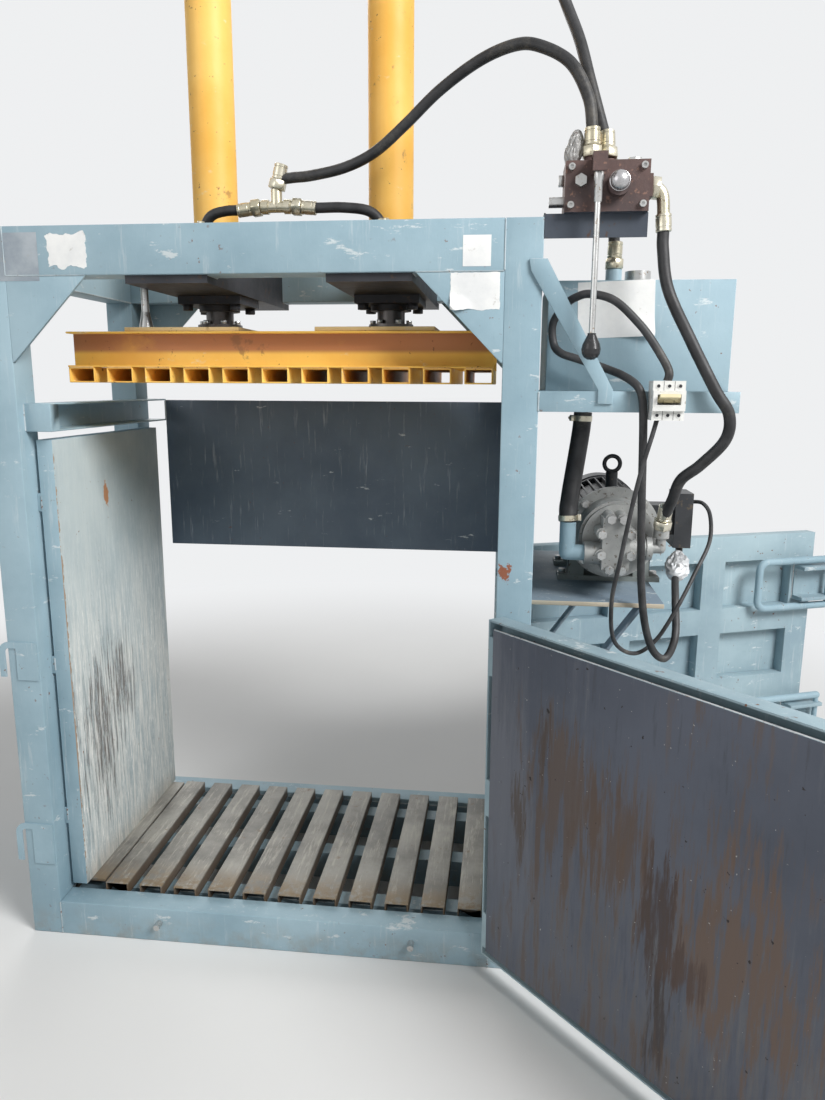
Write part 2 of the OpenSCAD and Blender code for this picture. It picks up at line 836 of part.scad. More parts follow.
module motor_body() {
  y1 = motor_y + motor_l;
  color(cast) difference() {
    union() {
      rod_y(shaft_x, motor_y, y1, shaft_z, motor_d - 30);
      for (i = [0 : motor_ribs - 1])
        translate([shaft_x, 0, shaft_z]) rotate([0, i * 360 / motor_ribs, 0])
          box(-2, 2, motor_y + 20, y1 - 20, 60, motor_d / 2);
      rod_y(shaft_x, motor_y - 6, motor_y + 24, shaft_z, motor_d);
      rod_y(shaft_x, y1 - 24, y1, shaft_z, motor_d);
      box(shaft_x - 116, shaft_x - 70, motor_y + 40, motor_y + 100, platform_z, shaft_z - 40);
      box(shaft_x + 70, shaft_x + 116, motor_y + 40, motor_y + 100, platform_z, shaft_z - 40);
      box(shaft_x - 116, shaft_x - 70, y1 - 100, y1 - 40, platform_z, shaft_z - 40);
      box(shaft_x + 70, shaft_x + 116, y1 - 100, y1 - 40, platform_z, shaft_z - 40);
      box(shaft_x - 145, shaft_x + 145, motor_y + 34, motor_y + 106, platform_z, platform_z + 14);
      box(shaft_x - 145, shaft_x + 145, y1 - 106, y1 - 34, platform_z, platform_z + 14);
      box(shaft_x + 90, shaft_x + 180, -75, 5, shaft_z - 14, shaft_z + 70);
      box(shaft_x + 177, shaft_x + 225, -90, 20, shaft_z - 50, shaft_z + 106);
      rod_z(shaft_x, -50, shaft_z + 90, shaft_z + 160, 34);
      translate([shaft_x, -50, shaft_z + 184]) rotate([90, 0, 0])
        rotate_extrude() translate([22, 0]) circle(d = 12);
    }
    rod_y(shaft_x, motor_y - 10, y1 + 1, shaft_z, motor_d - 60);
  }
  color(cast) for (y = [motor_y - 6, y1 - 20]) difference() {
    rod_y(shaft_x, y, y + 20, shaft_z, motor_d - 58);
    rod_y(shaft_x, y - 1, y + 21, shaft_z, shaft_d + 2 * slide_play);
  }
}

module fan_cowl() {
  y1 = motor_y + motor_l;
  color(dark) difference() {
    rod_y(shaft_x, y1, y1 + 85, shaft_z, motor_d + 8);
    rod_y(shaft_x, y1 - 1, y1 + 81, shaft_z, motor_d - 8);
    for (r = [40, 64, 88])
      for (a = [0 : 45 : 315])
        rod_y(shaft_x + r * cos(a), y1 + 70, y1 + 90, shaft_z + r * sin(a), 17);
  }
}

module motor_rotor() {
  y1 = motor_y + motor_l;
  color(steel) {
    rod_y(shaft_x, pump_y + 90, y1 + 60, shaft_z, shaft_d);
    rod_y(shaft_x, motor_y + 30, y1 - 40, shaft_z, motor_d - 90);
    rod_y(shaft_x, pump_y + 130, pump_y + 175, shaft_z, 72);
    rod_y(shaft_x, y1 + 20, y1 + 50, shaft_z, 60);
    for (a = [0 : 45 : 315])
      translate([shaft_x, 0, shaft_z]) rotate([0, a, 0]) box(-2, 2, y1 + 24, y1 + 60, 26, motor_d / 2 - 18);
  }
}

// Pump with the bell housing that joins it to the motor
module pump() {
  px = shaft_x - 14;
  color(cast) {
    difference() {
      union() {
        rod_y(shaft_x, pump_y + 74, pump_y + 96, shaft_z, 190);
        rod_y(shaft_x, pump_y + 90, motor_y - 20, shaft_z, 204);
        rod_y(shaft_x, motor_y - 21, motor_y - 6, shaft_z, motor_d + 16);
      }
      rod_y(shaft_x, pump_y + 100, motor_y, shaft_z, 184);
      rod_y(shaft_x, pump_y + 60, motor_y, shaft_z, shaft_d + 2 * slide_play);
      box(shaft_x + 60, shaft_x + 120, pump_y + 116, motor_y - 40, shaft_z - 60, shaft_z + 60);
    }
    difference() {
      union() {
        translate([px, pump_y + 75, shaft_z]) rotate([90, 0, 0]) linear_extrude(75) pump_outline();
        rod_x(px, px + 82, pump_y + 36, shaft_z - 14, 54);
        rod_x(px - 78, px, pump_y + 40, shaft_z - 30, 60);
      }
      rod_y(shaft_x, pump_y + 60, pump_y + 80, shaft_z, shaft_d + 2 * slide_play);
    }
    for (i = [0 : pump_bolts - 1])
      rod_y(px + 40 * cos(i * 360 / pump_bolts + 22.5), pump_y - 9, pump_y + 1,
            shaft_z + 72 * sin(i * 360 / pump_bolts + 22.5), 20);
    translate([px + 80, pump_y + 36, shaft_z - 14]) rotate([0, 90, 0]) cylinder(h = 14, d = 62);
    rod_x(px + 90, px + 118, pump_y + 36, shaft_z - 14, 26);
    translate([px + 118, pump_y + 36, shaft_z - 14]) sphere(d = 26);
    rod_z(px + 118, pump_y + 36, shaft_z - 14, shaft_z + 16, 26);
    rod_z(px + 118, pump_y + 36, shaft_z + 15, shaft_z + 40, 40);
  }
}

module pump_outline() {
  square([70, 136], center = true);
  for (i = [0 : pump_bolts - 1])
    translate([40 * cos(i * 360 / pump_bolts + 22.5), 72 * sin(i * 360 / pump_bolts + 22.5)]) circle(r = 15);
}

module suction_pipe() {
  color(paint) {
    rod_z(suction_x, pump_y + 40, shaft_z - 30, suction_top, 42);
    translate([suction_x, pump_y + 40, shaft_z - 30]) sphere(d = 42);
    rod_x(suction_x, shaft_x - 92, pump_y + 40, shaft_z - 30, 42);
  }
}

module breaker() {
  color([0.88, 0.88, 0.86]) difference() {
    union() {
      box(breaker_x, breaker_x + 74, -hd - 62, -hd, breaker_z, breaker_z + 91);
      box(breaker_x, breaker_x + 74, -hd - 72, -hd - 61, breaker_z + 22, breaker_z + 69);
    }
    box(breaker_x + 10, breaker_x + 64, -hd - 73, -hd - 30, breaker_z + 36, breaker_z + 60);
  }
}

module breaker_toggle() {
  color([0.85, 0.80, 0.60]) translate([breaker_x, -hd - 52, breaker_z + 48]) rotate([-16, 0, 0]) {
    rod_x(10.3, 63.7, 0, 0, 16);
    box(14, 60, -34, 0, -4, 4);
  }
}

// Hoses and cables: points by hand, from one fitting to the other

route_lower_feed = [[827, -375, 2132], [824, -374, 2203], [812, -368, 2269], [770, -348, 2347],
  [700, -320, 2394], [642, -290, 2409], [558, -250, 2393], [457, -215, 2340], [366, -190, 2269],
  [284, -170, 2211], [200, -150, 2180], [105, -132, 2166], [50, -130, 2162], [16, -130, 2156],
  [6, -130, 2132]];
route_upper_feed = [[866, -355, 2132], [863, -346, 2170], [854, -330, 2204], [821, -300, 2323],
  [796, -260, 2425], [759, -220, 2529], [700, -230, 2660], [610, -240, 2800], [490, -240, 2930],
  [350, -220, 3050], [210, -185, 3160], [100, -150, 3235], [45, -132, 3262], [14, -130, 3252],
  [6, -130, 3222]];
route_pressure = [[965, -375, 2065], [983, -375, 2060], [994, -376, 2037], [998, -378, 1971],
  [1000, -380, 1926], [1016, -390, 1835], [1070, -412, 1720], [1130, -432, 1605], [1166, -432, 1547],
  [1165, -418, 1487], [1117, -396, 1425], [1078, -372, 1385], [1065, -350, 1332], [1057, -310, 1285],
  [1054, -294, 1250]];
route_return = [[850, -313, 2080], [850, -294, 2095], [848, -284, 2150], [857, -280, 2200],
  [874, -272, 2190], [886, -264, 2140], [895, -256, 2060], [901, -250, 1971], [904, -250, 1930],
  [904, -250, 1900]];
route_suction = [[848, -200, 1544], [845, -202, 1496], [834, -215, 1416], [820, -250, 1330],
  [814, -284, 1285], [814, -290, 1262]];
route_lower_left = [[-38, -130, 2088], [-90, -130, 2082], [-141, -129, 2080], [-184, -124, 2068],
  [-206, -117, 2035], [-212, -113.5, 1990]];
route_lower_right = [[50, -130, 2088], [110, -130, 2084], [190, -128, 2084], [260, -124, 2074],
  [294, -118, 2040], [303, -113.5, 1990]];
route_upper_left = [[-38, -130, 3178], [-90, -130, 3172], [-141, -129, 3170], [-184, -124, 3158],
  [-206, -117, 3125], [-212, -113.5, 3080]];
route_upper_right = [[50, -130, 3178], [110, -130, 3174], [190, -128, 3174], [260, -124, 3164],
  [294, -118, 3130], [303, -113.5, 3080]];
route_supply = [[1019, -437, 1625], [1020, -436, 1650], [990, -418, 1705], [954, -402, 1755],
  [895, -382, 1812], [838, -362, 1830], [804, -348, 1823], [781, -332, 1806], [755, -312, 1766],
  [758, -314, 1716], [776, -332, 1692], [815, -346, 1678], [884, -352, 1655], [925, -386, 1636],
  [954, -418, 1612], [966, -426, 1580], [971, -424, 1530], [976, -412, 1458], [982, -395, 1360],
  [990, -380, 1230], [998, -370, 1120], [1015, -360, 1010], [1042, -348, 935], [1078, -335, 912],
  [1104, -310, 965], [1110, -250, 1050], [1120, -180, 1105], [1140, -110, 1130], [1150, -60, 1160]];
route_thin = [[1000, -437, 1534], [990, -450, 1500], [972, -454, 1430], [955, -446, 1337],
  [934, -425, 1183], [922, -405, 1075], [938, -372, 965], [996, -336, 921], [1052, -320, 954],
  [1100, -318, 1040], [1153, -270, 1131], [1196, -215, 1203], [1208, -150, 1265], [1200, -90, 1290],
  [1175, -60, 1290]];

function seg(a, b, c, d, t) = 0.5 * ((2 * b) + (c - a) * t + (2 * a - 5 * b + 4 * c - d) * t * t
                                     + (3 * b - a - 3 * c + d) * t * t * t);
function at(p, i) = p[max(0, min(len(p) - 1, i))];
function smooth(p, k) = [for (i = [0 : len(p) - 2]) for (j = [0 : k - 1])
  seg(at(p, i - 1), p[i], p[i + 1], at(p, i + 2), j / k), p[len(p) - 1]];
function unit(v) = v / norm(v);
function along(q, i) = unit(at(q, i + 1) - at(q, i - 1));
function turned(n, t) = unit(n - (n * t) * t);
function first_n(t) = turned(abs(t[1]) < 0.9 ? [0, 1, 0] : [1, 0, 0], t);
function frames(q, i, n) = i >= len(q) ? [] :
  let (t = along(q, i), m = turned(n, t)) concat([[m, cross(t, m)]], frames(q, i + 1, m));

module cord(p, d, k = 1, s = 8) {
  q = smooth(p, k);
  f = frames(q, 0, first_n(along(q, 0)));
  r = d / 2;
  pts = [for (i = [0 : len(q) - 1]) for (j = [0 : s - 1])
    q[i] + r * (cos(j * 360 / s) * f[i][0] + sin(j * 360 / s) * f[i][1])];
  sides = [for (i = [0 : len(q) - 2]) for (j = [0 : s - 1])
    [i * s + j, i * s + (j + 1) % s, (i + 1) * s + (j + 1) % s, (i + 1) * s + j]];
  tri = [for (f4 = sides) each [[f4[0], f4[3], f4[2]], [f4[0], f4[2], f4[1]]]];
  end0 = [for (j = [0 : s - 1]) j];
  end1 = [for (j = [s - 1 : -1 : 0]) (len(q) - 1) * s + j];
  polyhedron(points = pts, faces = concat(tri, [end0, end1]));
}

module hose_lower_feed() {
  color(black) cord(route_lower_feed, hose_d);
}

module hose_upper_feed() {
  color(black) cord(route_upper_feed, hose_d);
}

module hose_pressure() {
  color(black) cord(route_pressure, hose_d);
}

module hose_return() {
  color(black) cord(route_return, hose_d);
}

module hose_suction() {
  color(black) cord(route_suction, suction_d);
}

module hose_lower_left() {
  color(black) cord(route_lower_left, hose_d);
}

module hose_lower_right() {
  color(black) cord(route_lower_right, hose_d);
}

module hose_upper_left() {
  color(black) cord(route_upper_left, hose_d);
}

module hose_upper_right() {
  color(black) cord(route_upper_right, hose_d);
}

module cable_supply() {
  color(black) cord(route_supply, cable_d, 2);
}

module cable_thin() {
  color(black) cord(route_thin, thin_d, 2);
}

sills();
side_sills();
floor_bearers();
floor_edge();
floor_slats();
sill_pins();
front_posts();
rear_posts();
top_beams();
top_side_rails();
gussets();
cylinder_bridges();
side_rails();
side_wall_left();
side_wall_right();
rear_panel();
keepers();
hinge_ears();
cylinder_barrels();
cylinder_glands();
hose_fittings();
platen_tubes();
platen_channels();
platen_plates();
piston_rods();
pistons();
guide_rod();
front_door_frame();
front_door_liner();
rear_door_frame();
rear_door_liner();
front_bail_upper();
front_bail_lower();
rear_bail_upper();
rear_bail_lower();
tank_shelf();
tank();
tank_lid();
valve_block();
valve_lever();
valve_spool();
motor_platform();
motor_body();
fan_cowl();
motor_rotor();
pump();
suction_pipe();
breaker();
breaker_toggle();
hose_lower_feed();
hose_upper_feed();
hose_pressure();
hose_return();
hose_suction();
hose_lower_left();
hose_lower_right();
hose_upper_left();
hose_upper_right();
cable_supply();
cable_thin();
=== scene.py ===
# %% [markdown]
# # A recycling baler, dressed for its picture
# The construction already holds every solid of this press at its real size.
# This lesson gives those solids their worn paint, softens the edges of the
# folded and welded steel, and adds what hangs on the machine: hoses with
# their crimped ends, cables, bolts, welds and blank paper labels.

from math import cos, pi, radians, sin

import bmesh
import bpy
from mathutils import Matrix, Vector, noise


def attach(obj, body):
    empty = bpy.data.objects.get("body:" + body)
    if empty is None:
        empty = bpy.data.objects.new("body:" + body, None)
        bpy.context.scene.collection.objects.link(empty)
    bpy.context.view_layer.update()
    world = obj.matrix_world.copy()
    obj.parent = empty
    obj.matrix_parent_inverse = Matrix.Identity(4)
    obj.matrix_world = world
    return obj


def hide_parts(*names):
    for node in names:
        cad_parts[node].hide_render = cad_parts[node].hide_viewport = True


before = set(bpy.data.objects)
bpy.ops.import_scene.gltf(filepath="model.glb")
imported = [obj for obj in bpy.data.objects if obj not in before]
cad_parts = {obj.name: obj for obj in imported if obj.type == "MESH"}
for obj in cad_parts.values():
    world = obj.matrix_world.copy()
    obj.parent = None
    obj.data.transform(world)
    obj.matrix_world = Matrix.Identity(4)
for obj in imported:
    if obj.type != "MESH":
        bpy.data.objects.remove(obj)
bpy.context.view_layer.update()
MM = 0.001

# %% [markdown]
# ## The camera first
# The picture was taken from eye height, close in front of the machine and
# a little to its right. Turning a camera by angles is easy to get wrong, so
# its three directions are worked out as vectors and put into one matrix.
# The lens comes from the picture's height, so the frame stays the same at
# every image size.

# %% Place the camera
EYE = Vector((0.64856, -2.47177, 1.61397))
TURNED_LEFT = radians(6.4545)
LOOKING_DOWN = radians(11.333)
HEAD_TILT = radians(0.2755)
PICTURE_HEIGHT_MM = 36.0
LENS_PER_HEIGHT = 826 / 1100
SEES_TO_M = 60


def linked(name, data):
    """Puts data into the scene as an object at the origin."""
    thing = bpy.data.objects.new(name, data)
    bpy.context.collection.objects.link(thing)
    return thing


ahead = Vector((
    -sin(TURNED_LEFT) * cos(LOOKING_DOWN),
    cos(TURNED_LEFT) * cos(LOOKING_DOWN),
    -sin(LOOKING_DOWN),
))
level = Vector((cos(TURNED_LEFT), sin(TURNED_LEFT), 0))
above = level.cross(ahead)
to_right = cos(HEAD_TILT) * level + sin(HEAD_TILT) * above
to_top = cos(HEAD_TILT) * above - sin(HEAD_TILT) * level

camera = linked("camera", bpy.data.cameras.new("camera"))
camera.data.sensor_fit = "VERTICAL"
camera.data.sensor_height = PICTURE_HEIGHT_MM
camera.data.lens = LENS_PER_HEIGHT * PICTURE_HEIGHT_MM
camera.data.clip_end = SEES_TO_M
turn = Matrix((to_right, to_top, -ahead)).transposed()
camera.matrix_world = Matrix.Translation(EYE) @ turn.to_4x4()
bpy.context.scene.camera = camera
print("camera looks along", [round(v, 3) for v in ahead])

# %% [markdown]
# ## Small helpers for meshes
# Every finished piece keeps its object at the origin, with its place in its
# mesh. One helper turns a bmesh into such an object, lets it ride on a body
# and gives it a material, so that no piece is ever left without either.

# %% Turn a bmesh into a piece
SHARP_ABOVE = radians(40)


def add_piece(name, mesh_data, body, material, replaces=()):
    mesh = bpy.data.meshes.new(name)
    mesh_data.normal_update()
    mesh_data.to_mesh(mesh)
    mesh_data.free()
    piece = linked(name, mesh)
    mesh.materials.append(material)
    mesh.polygons.foreach_set("use_smooth", [True] * len(mesh.polygons))
    mesh.set_sharp_from_angle(angle=SHARP_ABOVE)
    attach(piece, body)
    if replaces:
        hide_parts(*replaces)
    print("made", name, "on", body)
    return piece


def mm(*values):
    """Turns millimetres into the scene's metres."""
    return tuple(v * MM for v in values)


def aim(direction):
    """A turn that takes +Z to the given direction."""
    return Vector((0, 0, 1)).rotation_difference(Vector(direction)).to_matrix().to_4x4()


# %% [markdown]
# ## Ways to build a finish
# A worn finish is mostly layers: a base colour that drifts a little, then
# masks of dirt, scratches and rust laid over it. Each mask is noise pushed
# through a steep ramp. All patterns read Object coordinates, and since every
# object sits at the origin these are plain metres on the machine.

# %% Node helpers for layered paint
def feed(tree, socket, value):
    """Links another node's output to a socket, or sets a plain value."""
    if isinstance(value, bpy.types.NodeSocket):
        tree.links.new(value, socket)
    else:
        socket.default_value = value


def add_node(tree, kind, inputs=None, **settings):
    """Adds a shader node, sets it up and feeds its inputs."""
    node = tree.nodes.new("ShaderNode" + kind)
    for name, value in settings.items():
        setattr(node, name, value)
    for socket, value in (inputs or {}).items():
        feed(tree, node.inputs[socket], value)
    return node


class Finish:
    """A material under construction: a shader and the layers put on it."""

    def __init__(self, name, roughness=0.6, metallic=0.0, specular=0.4):
        self.material = bpy.data.materials.new(name)
        self.material.use_nodes = True
        self.tree = self.material.node_tree
        self.shader = self.tree.nodes["Principled BSDF"]
        self.put("Roughness", roughness)
        self.put("Metallic", metallic)
        self.put("Specular IOR Level", specular)
        self.place = self.node("TexCoord").outputs["Object"]

    def node(self, kind, inputs=None, **settings):
        return add_node(self.tree, kind, inputs, **settings)

    def put(self, socket, value):
        """Feeds one of the shader's own inputs."""
        feed(self.tree, self.shader.inputs[socket], value)

    def stretched(self, scale, turn=(0, 0, 0)):
        inputs = {"Scale": scale, "Rotation": turn, "Vector": self.place}
        return self.node("Mapping", inputs).outputs["Vector"]

    def noise(self, scale, detail=4.0, roughness=0.55, where=None):
        inputs = {"Scale": scale, "Detail": detail, "Roughness": roughness, "Vector": where or self.place}
        return self.node("TexNoise", inputs).outputs["Fac"]

    def fade(self, value, low, high, to_low=0.0, to_high=1.0):
        """Takes low..high to to_low..to_high, with soft ends."""
        inputs = {"Value": value, "From Min": low, "From Max": high, "To Min": to_low, "To Max": to_high}
        return self.node("MapRange", inputs, interpolation_type="SMOOTHSTEP").outputs["Result"]

    def axis(self, letter):
        return self.node("SeparateXYZ", {"Vector": self.place}).outputs[letter]

    def vector(self, kind, *values):
        return self.node("VectorMath", dict(enumerate(values)), operation=kind).outputs

    def near(self, middle_mm, reach_mm, ragged=0.5, grain=9.0, where=None, full_at=0.8):
        """1 in a ragged patch round a place, 0 away from it."""
        shifted = self.vector("SUBTRACT", self.place, mm(*middle_mm))["Vector"]
        scaled = self.vector("DIVIDE", shifted, mm(*reach_mm))["Vector"]
        away = self.vector("LENGTH", scaled)["Value"]
        torn = self.fade(self.noise(grain, 7, 0.7, where), 0.25, 0.75, -ragged, ragged)
        edge = self.node("Math", {0: away, 1: torn}, operation="ADD").outputs["Value"]
        return self.fade(edge, 1.0, full_at)

    def both(self, a, b):
        """Keeps what two masks have in common, or weakens one by a number."""
        return self.node("Math", {0: a, 1: b}, operation="MULTIPLY", use_clamp=True).outputs["Value"]

    def added(self, a, b):
        return self.node("Math", {0: a, 1: b}, operation="ADD", use_clamp=True).outputs["Value"]

    def mixed(self, mask, a, b):
        a, b = ((*v, 1.0) if isinstance(v, tuple) else v for v in (a, b))
        return self.node("Mix", {"Factor": mask, "A": a, "B": b}, data_type="RGBA").outputs["Result"]

    def paint(self, dark, light, scale, detail=6, roughness=0.6):
        """Starts the colour: two tones of one paint that drift into each other."""
        self.colour = self.mixed(self.fade(self.noise(scale, detail, roughness), 0.3, 0.7), dark, light)

    def layer(self, mask, colour):
        """Lays a colour over what is there, where the mask is 1."""
        self.colour = self.mixed(mask, self.colour, colour)

    def relief(self, height, depth):
        inputs = {"Strength": 1.0, "Distance": depth, "Height": height}
        self.put("Normal", self.node("Bump", inputs).outputs["Normal"])

    def rough(self, mask, low, high):
        self.put("Roughness", self.fade(mask, 0.0, 1.0, low, high))
        return self

    def done(self):
        self.put("Base Color", self.colour)
        print("mixed", self.material.name)
        return self.material


# %% [markdown]
# ## The blue-grey frame paint
# The frame was brushed with a thin grey-blue paint years ago. It is chalky
# on top, scuffed pale where waste and straps rub, and speckled with rust.
# Mud sits on the lowest hand's width.

# %% Mix the frame paint
RUST = (0.17, 0.065, 0.025)
MUD = (0.27, 0.21, 0.14)
SCUFF = (0.62, 0.66, 0.66)
CHIP, CHIP_REACH_MM = (0.24, 0.085, 0.045), (17, 30, 24)
SAND = (0.50, 0.42, 0.30)
SANDY_ABOVE, SANDY_BLEND = 1.044, 0.003


def frame_paint(name, dark, light, rust_from=0.66, scuff_from=0.61, chip_mm=None, sandy_from=None):
    f = Finish(name, roughness=0.55)
    f.paint(dark, light, 2.2)
    brushed = f.noise(3.5, 5, 0.7, f.stretched((18, 18, 1.4)))
    f.layer(f.fade(brushed, 0.56, 0.75, 0.0, 0.35), SCUFF)
    scratched = f.noise(9, 8, 0.72, f.stretched((1.0, 1.3, 3.0), (0.5, 0.3, 0.9)))
    f.layer(f.fade(scratched, scuff_from, scuff_from + 0.05, 0.0, 0.75), SCUFF)
    specks = f.noise(55, 4, 0.6)
    patches = f.fade(f.noise(3.1, 4, 0.6), 0.42, 0.62)
    f.layer(f.both(f.fade(specks, rust_from, rust_from + 0.05), patches), RUST)
    low = f.fade(f.axis("Z"), 0.0, 0.11, 0.45, 0.0)
    f.layer(f.both(low, f.fade(f.noise(12, 6, 0.7), 0.40, 0.68)), MUD)
    if chip_mm:
        f.layer(f.near(chip_mm, CHIP_REACH_MM, 0.7, 45), CHIP)
    if sandy_from:
        front_edge = f.fade(f.axis("Y"), sandy_from + 0.001, sandy_from, 0.0, 0.8)
        top = f.fade(f.axis("Z"), SANDY_ABOVE, SANDY_ABOVE + SANDY_BLEND)
        f.layer(f.both(front_edge, top), SAND)
    f.relief(f.added(brushed, specks), 0.0006)
    return f.rough(f.noise(7, 5), 0.42, 0.72).done()


FRAME_TONES = (0.225, 0.335, 0.395), (0.335, 0.46, 0.52)
blue_paint = frame_paint("blue_frame_paint", *FRAME_TONES)
blue_post_paint = frame_paint("blue_post_paint", *FRAME_TONES, chip_mm=(650, -405, 1143))
blue_door_paint = frame_paint("blue_door_paint", (0.22, 0.31, 0.36), (0.35, 0.46, 0.50))
# The rear panel's darker tones are painted shade.
shaded_paint = frame_paint("shaded_frame_paint", (0.075, 0.105, 0.145), (0.125, 0.165, 0.21), 0.68, 0.64)
# The motor platform's darker tones are painted shade; its front edge is sandy.
platform_with_painted_shade = frame_paint("platform_with_painted_shade", (0.15, 0.20, 0.25), (0.24, 0.30, 0.34), sandy_from=-0.339)

# %% [markdown]
# ## The scraped chamber wall
# Bales slide up and down against the left wall. Its upper third keeps its
# paint, and below that the steel is scraped almost white in long upright
# streaks, with dark scrapes where the load bears hardest. A line of rusty
# weld runs up beside the front strip.

# %% Mix the scraped wall
BEARING_MM = (((-577, -190, 540), (200, 130, 270)), ((-577, -40, 660), (200, 100, 150)))
WALL_CHIP_MM = (-577, -60, 1275), (200, 14, 40)
RUSTY_WELD_MM = (-577, -345, 760), (7, 7, 620)


def scraped_wall():
    f = Finish("scraped_wall_paint", roughness=0.5)
    f.paint((0.31, 0.39, 0.42), (0.45, 0.52, 0.53), 2.5)
    upright = f.stretched((1, 9, 0.55))
    streaks = f.noise(9, 8, 0.75, upright)
    fine = f.noise(32, 6, 0.8, f.stretched((1, 7, 0.5)))
    height = f.fade(f.axis("Z"), 0.55, 1.30, 1.0, 0.10)
    bare = f.both(f.fade(streaks, 0.40, 0.60), height)
    f.layer(f.both(bare, 0.9), (0.66, 0.67, 0.64))
    f.layer(f.both(f.fade(fine, 0.52, 0.62, 0.0, 0.9), height), (0.86, 0.86, 0.82))
    f.layer(f.both(f.fade(fine, 0.44, 0.36, 0.0, 0.6), height), (0.33, 0.36, 0.36))
    for middle, reach in BEARING_MM:
        bearing = f.near(middle, reach, 0.9, 9, upright, 0.3)
        f.layer(f.both(f.both(f.fade(fine, 0.43, 0.53), bearing), 0.9), (0.115, 0.095, 0.085))
    f.layer(f.near(*WALL_CHIP_MM, 0.5, 30), (0.40, 0.20, 0.10))
    f.layer(f.near(*RUSTY_WELD_MM, 0.7, 14, f.stretched((1, 1, 3))), (0.34, 0.25, 0.18))
    f.layer(f.fade(f.noise(70, 3, 0.6), 0.71, 0.75), RUST)
    f.layer(f.both(f.fade(f.axis("Z"), 0.12, 0.22, 1.0, 0.0), 0.4), MUD)
    f.relief(f.added(streaks, fine), 0.0008)
    return f.rough(streaks, 0.40, 0.68).done()


wall_paint = scraped_wall()

# %% [markdown]
# ## The doors' inner sheets
# Both doors are lined with one flat sheet each. The sheets are dragged in
# upright streaks, and their base colour is darker than the frame's: painted
# shade. Broad brown and orange stains lie where wet bales pressed, and each
# stain is a ragged patch round one place, pulled out along the streaks.

# %% Mix the stained door lining
SCUFFED_MM = (665, -495, 560), (150, 150, 560)
STAINS = (
    ((800, -640, 640), (150, 150, 230), (0.105, 0.075, 0.060)),
    ((920, -760, 590), (120, 120, 170), (0.095, 0.066, 0.052)),
    ((1120, -965, 510), (190, 190, 230), (0.135, 0.088, 0.062)),
    ((1003, -845, 490), (52, 52, 200), (0.048, 0.030, 0.026)),
    ((1015, -857, 220), (34, 34, 170), (0.042, 0.031, 0.028)),
    ((1045, -885, 400), (60, 60, 60), (0.070, 0.044, 0.036)),
    ((760, -590, 760), (22, 22, 130), (0.070, 0.050, 0.040)),
    ((700, -535, 560), (40, 40, 120), (0.085, 0.065, 0.055)),
)


def stains_and_painted_shade_lining():
    f = Finish("door_lining_stains_and_painted_shade", roughness=0.5)
    # The dark base tones are painted shade.
    f.paint((0.062, 0.072, 0.098), (0.100, 0.113, 0.148), 1.8)
    upright = f.stretched((3.2, 3.2, 0.3))
    streaks = f.noise(14, 8, 0.72, upright)
    f.layer(f.fade(streaks, 0.52, 0.72, 0.0, 0.45), (0.17, 0.18, 0.20))
    f.layer(f.fade(streaks, 0.44, 0.32, 0.0, 0.4), (0.045, 0.048, 0.058))
    low = f.fade(f.axis("Z"), 0.75, 0.25, 0.0, 0.5)
    f.layer(f.both(low, f.fade(streaks, 0.40, 0.60)), (0.15, 0.145, 0.14))
    f.layer(f.near(*SCUFFED_MM, 0.4, 5, upright, 0.2), (0.145, 0.155, 0.185))
    for middle, reach, colour in STAINS:
        f.layer(f.both(f.near(middle, reach, 1.0, 12, upright, 0.25), 0.85), colour)
    runs = f.both(f.fade(streaks, 0.50, 0.62, 0.0, 0.6), f.fade(f.noise(1.6, 3, 0.6), 0.52, 0.64))
    f.layer(runs, (0.11, 0.070, 0.048))
    f.layer(f.fade(f.noise(52, 4, 0.6), 0.695, 0.72), (0.018, 0.015, 0.015))
    f.layer(f.fade(f.noise(120, 2, 0.5), 0.75, 0.78), (0.4, 0.4, 0.38))
    f.relief(streaks, 0.0006)
    return f.rough(streaks, 0.40, 0.64).done()


lining_stains_and_painted_shade = stains_and_painted_shade_lining()

# %% [markdown]
# ## Worn steel slats
# The floor slats were never painted well. They are walked on and dragged
# over, so their tops are a dull brown-grey steel, with rust along the sides
# and dry dirt at the ends.

# %% Mix the slat steel
def slat_steel():
    f = Finish("worn_slat_steel", roughness=0.55, metallic=0.25)
    f.paint((0.155, 0.150, 0.138), (0.32, 0.31, 0.28), 5, 7, 0.65)
    drag = f.noise(14, 8, 0.75, f.stretched((6, 0.6, 2)))
    f.layer(f.fade(drag, 0.50, 0.66, 0.0, 0.8), (0.46, 0.44, 0.39))
    f.layer(f.fade(f.noise(24, 6, 0.7), 0.61, 0.70, 0.0, 0.7), (0.17, 0.10, 0.06))
    ends = f.fade(f.axis("Y"), -0.18, -0.34, 0.0, 1.0)
    f.layer(f.both(ends, f.fade(f.noise(20, 7, 0.8), 0.38, 0.55)), (0.21, 0.155, 0.095))
    f.layer(f.fade(f.axis("Z"), 0.127, 0.118, 0.0, 0.75), (0.10, 0.065, 0.04))
    f.relief(f.added(drag, f.noise(60, 5, 0.7)), 0.001)
    return f.rough(drag, 0.4, 0.75).done()


slat_finish = slat_steel()
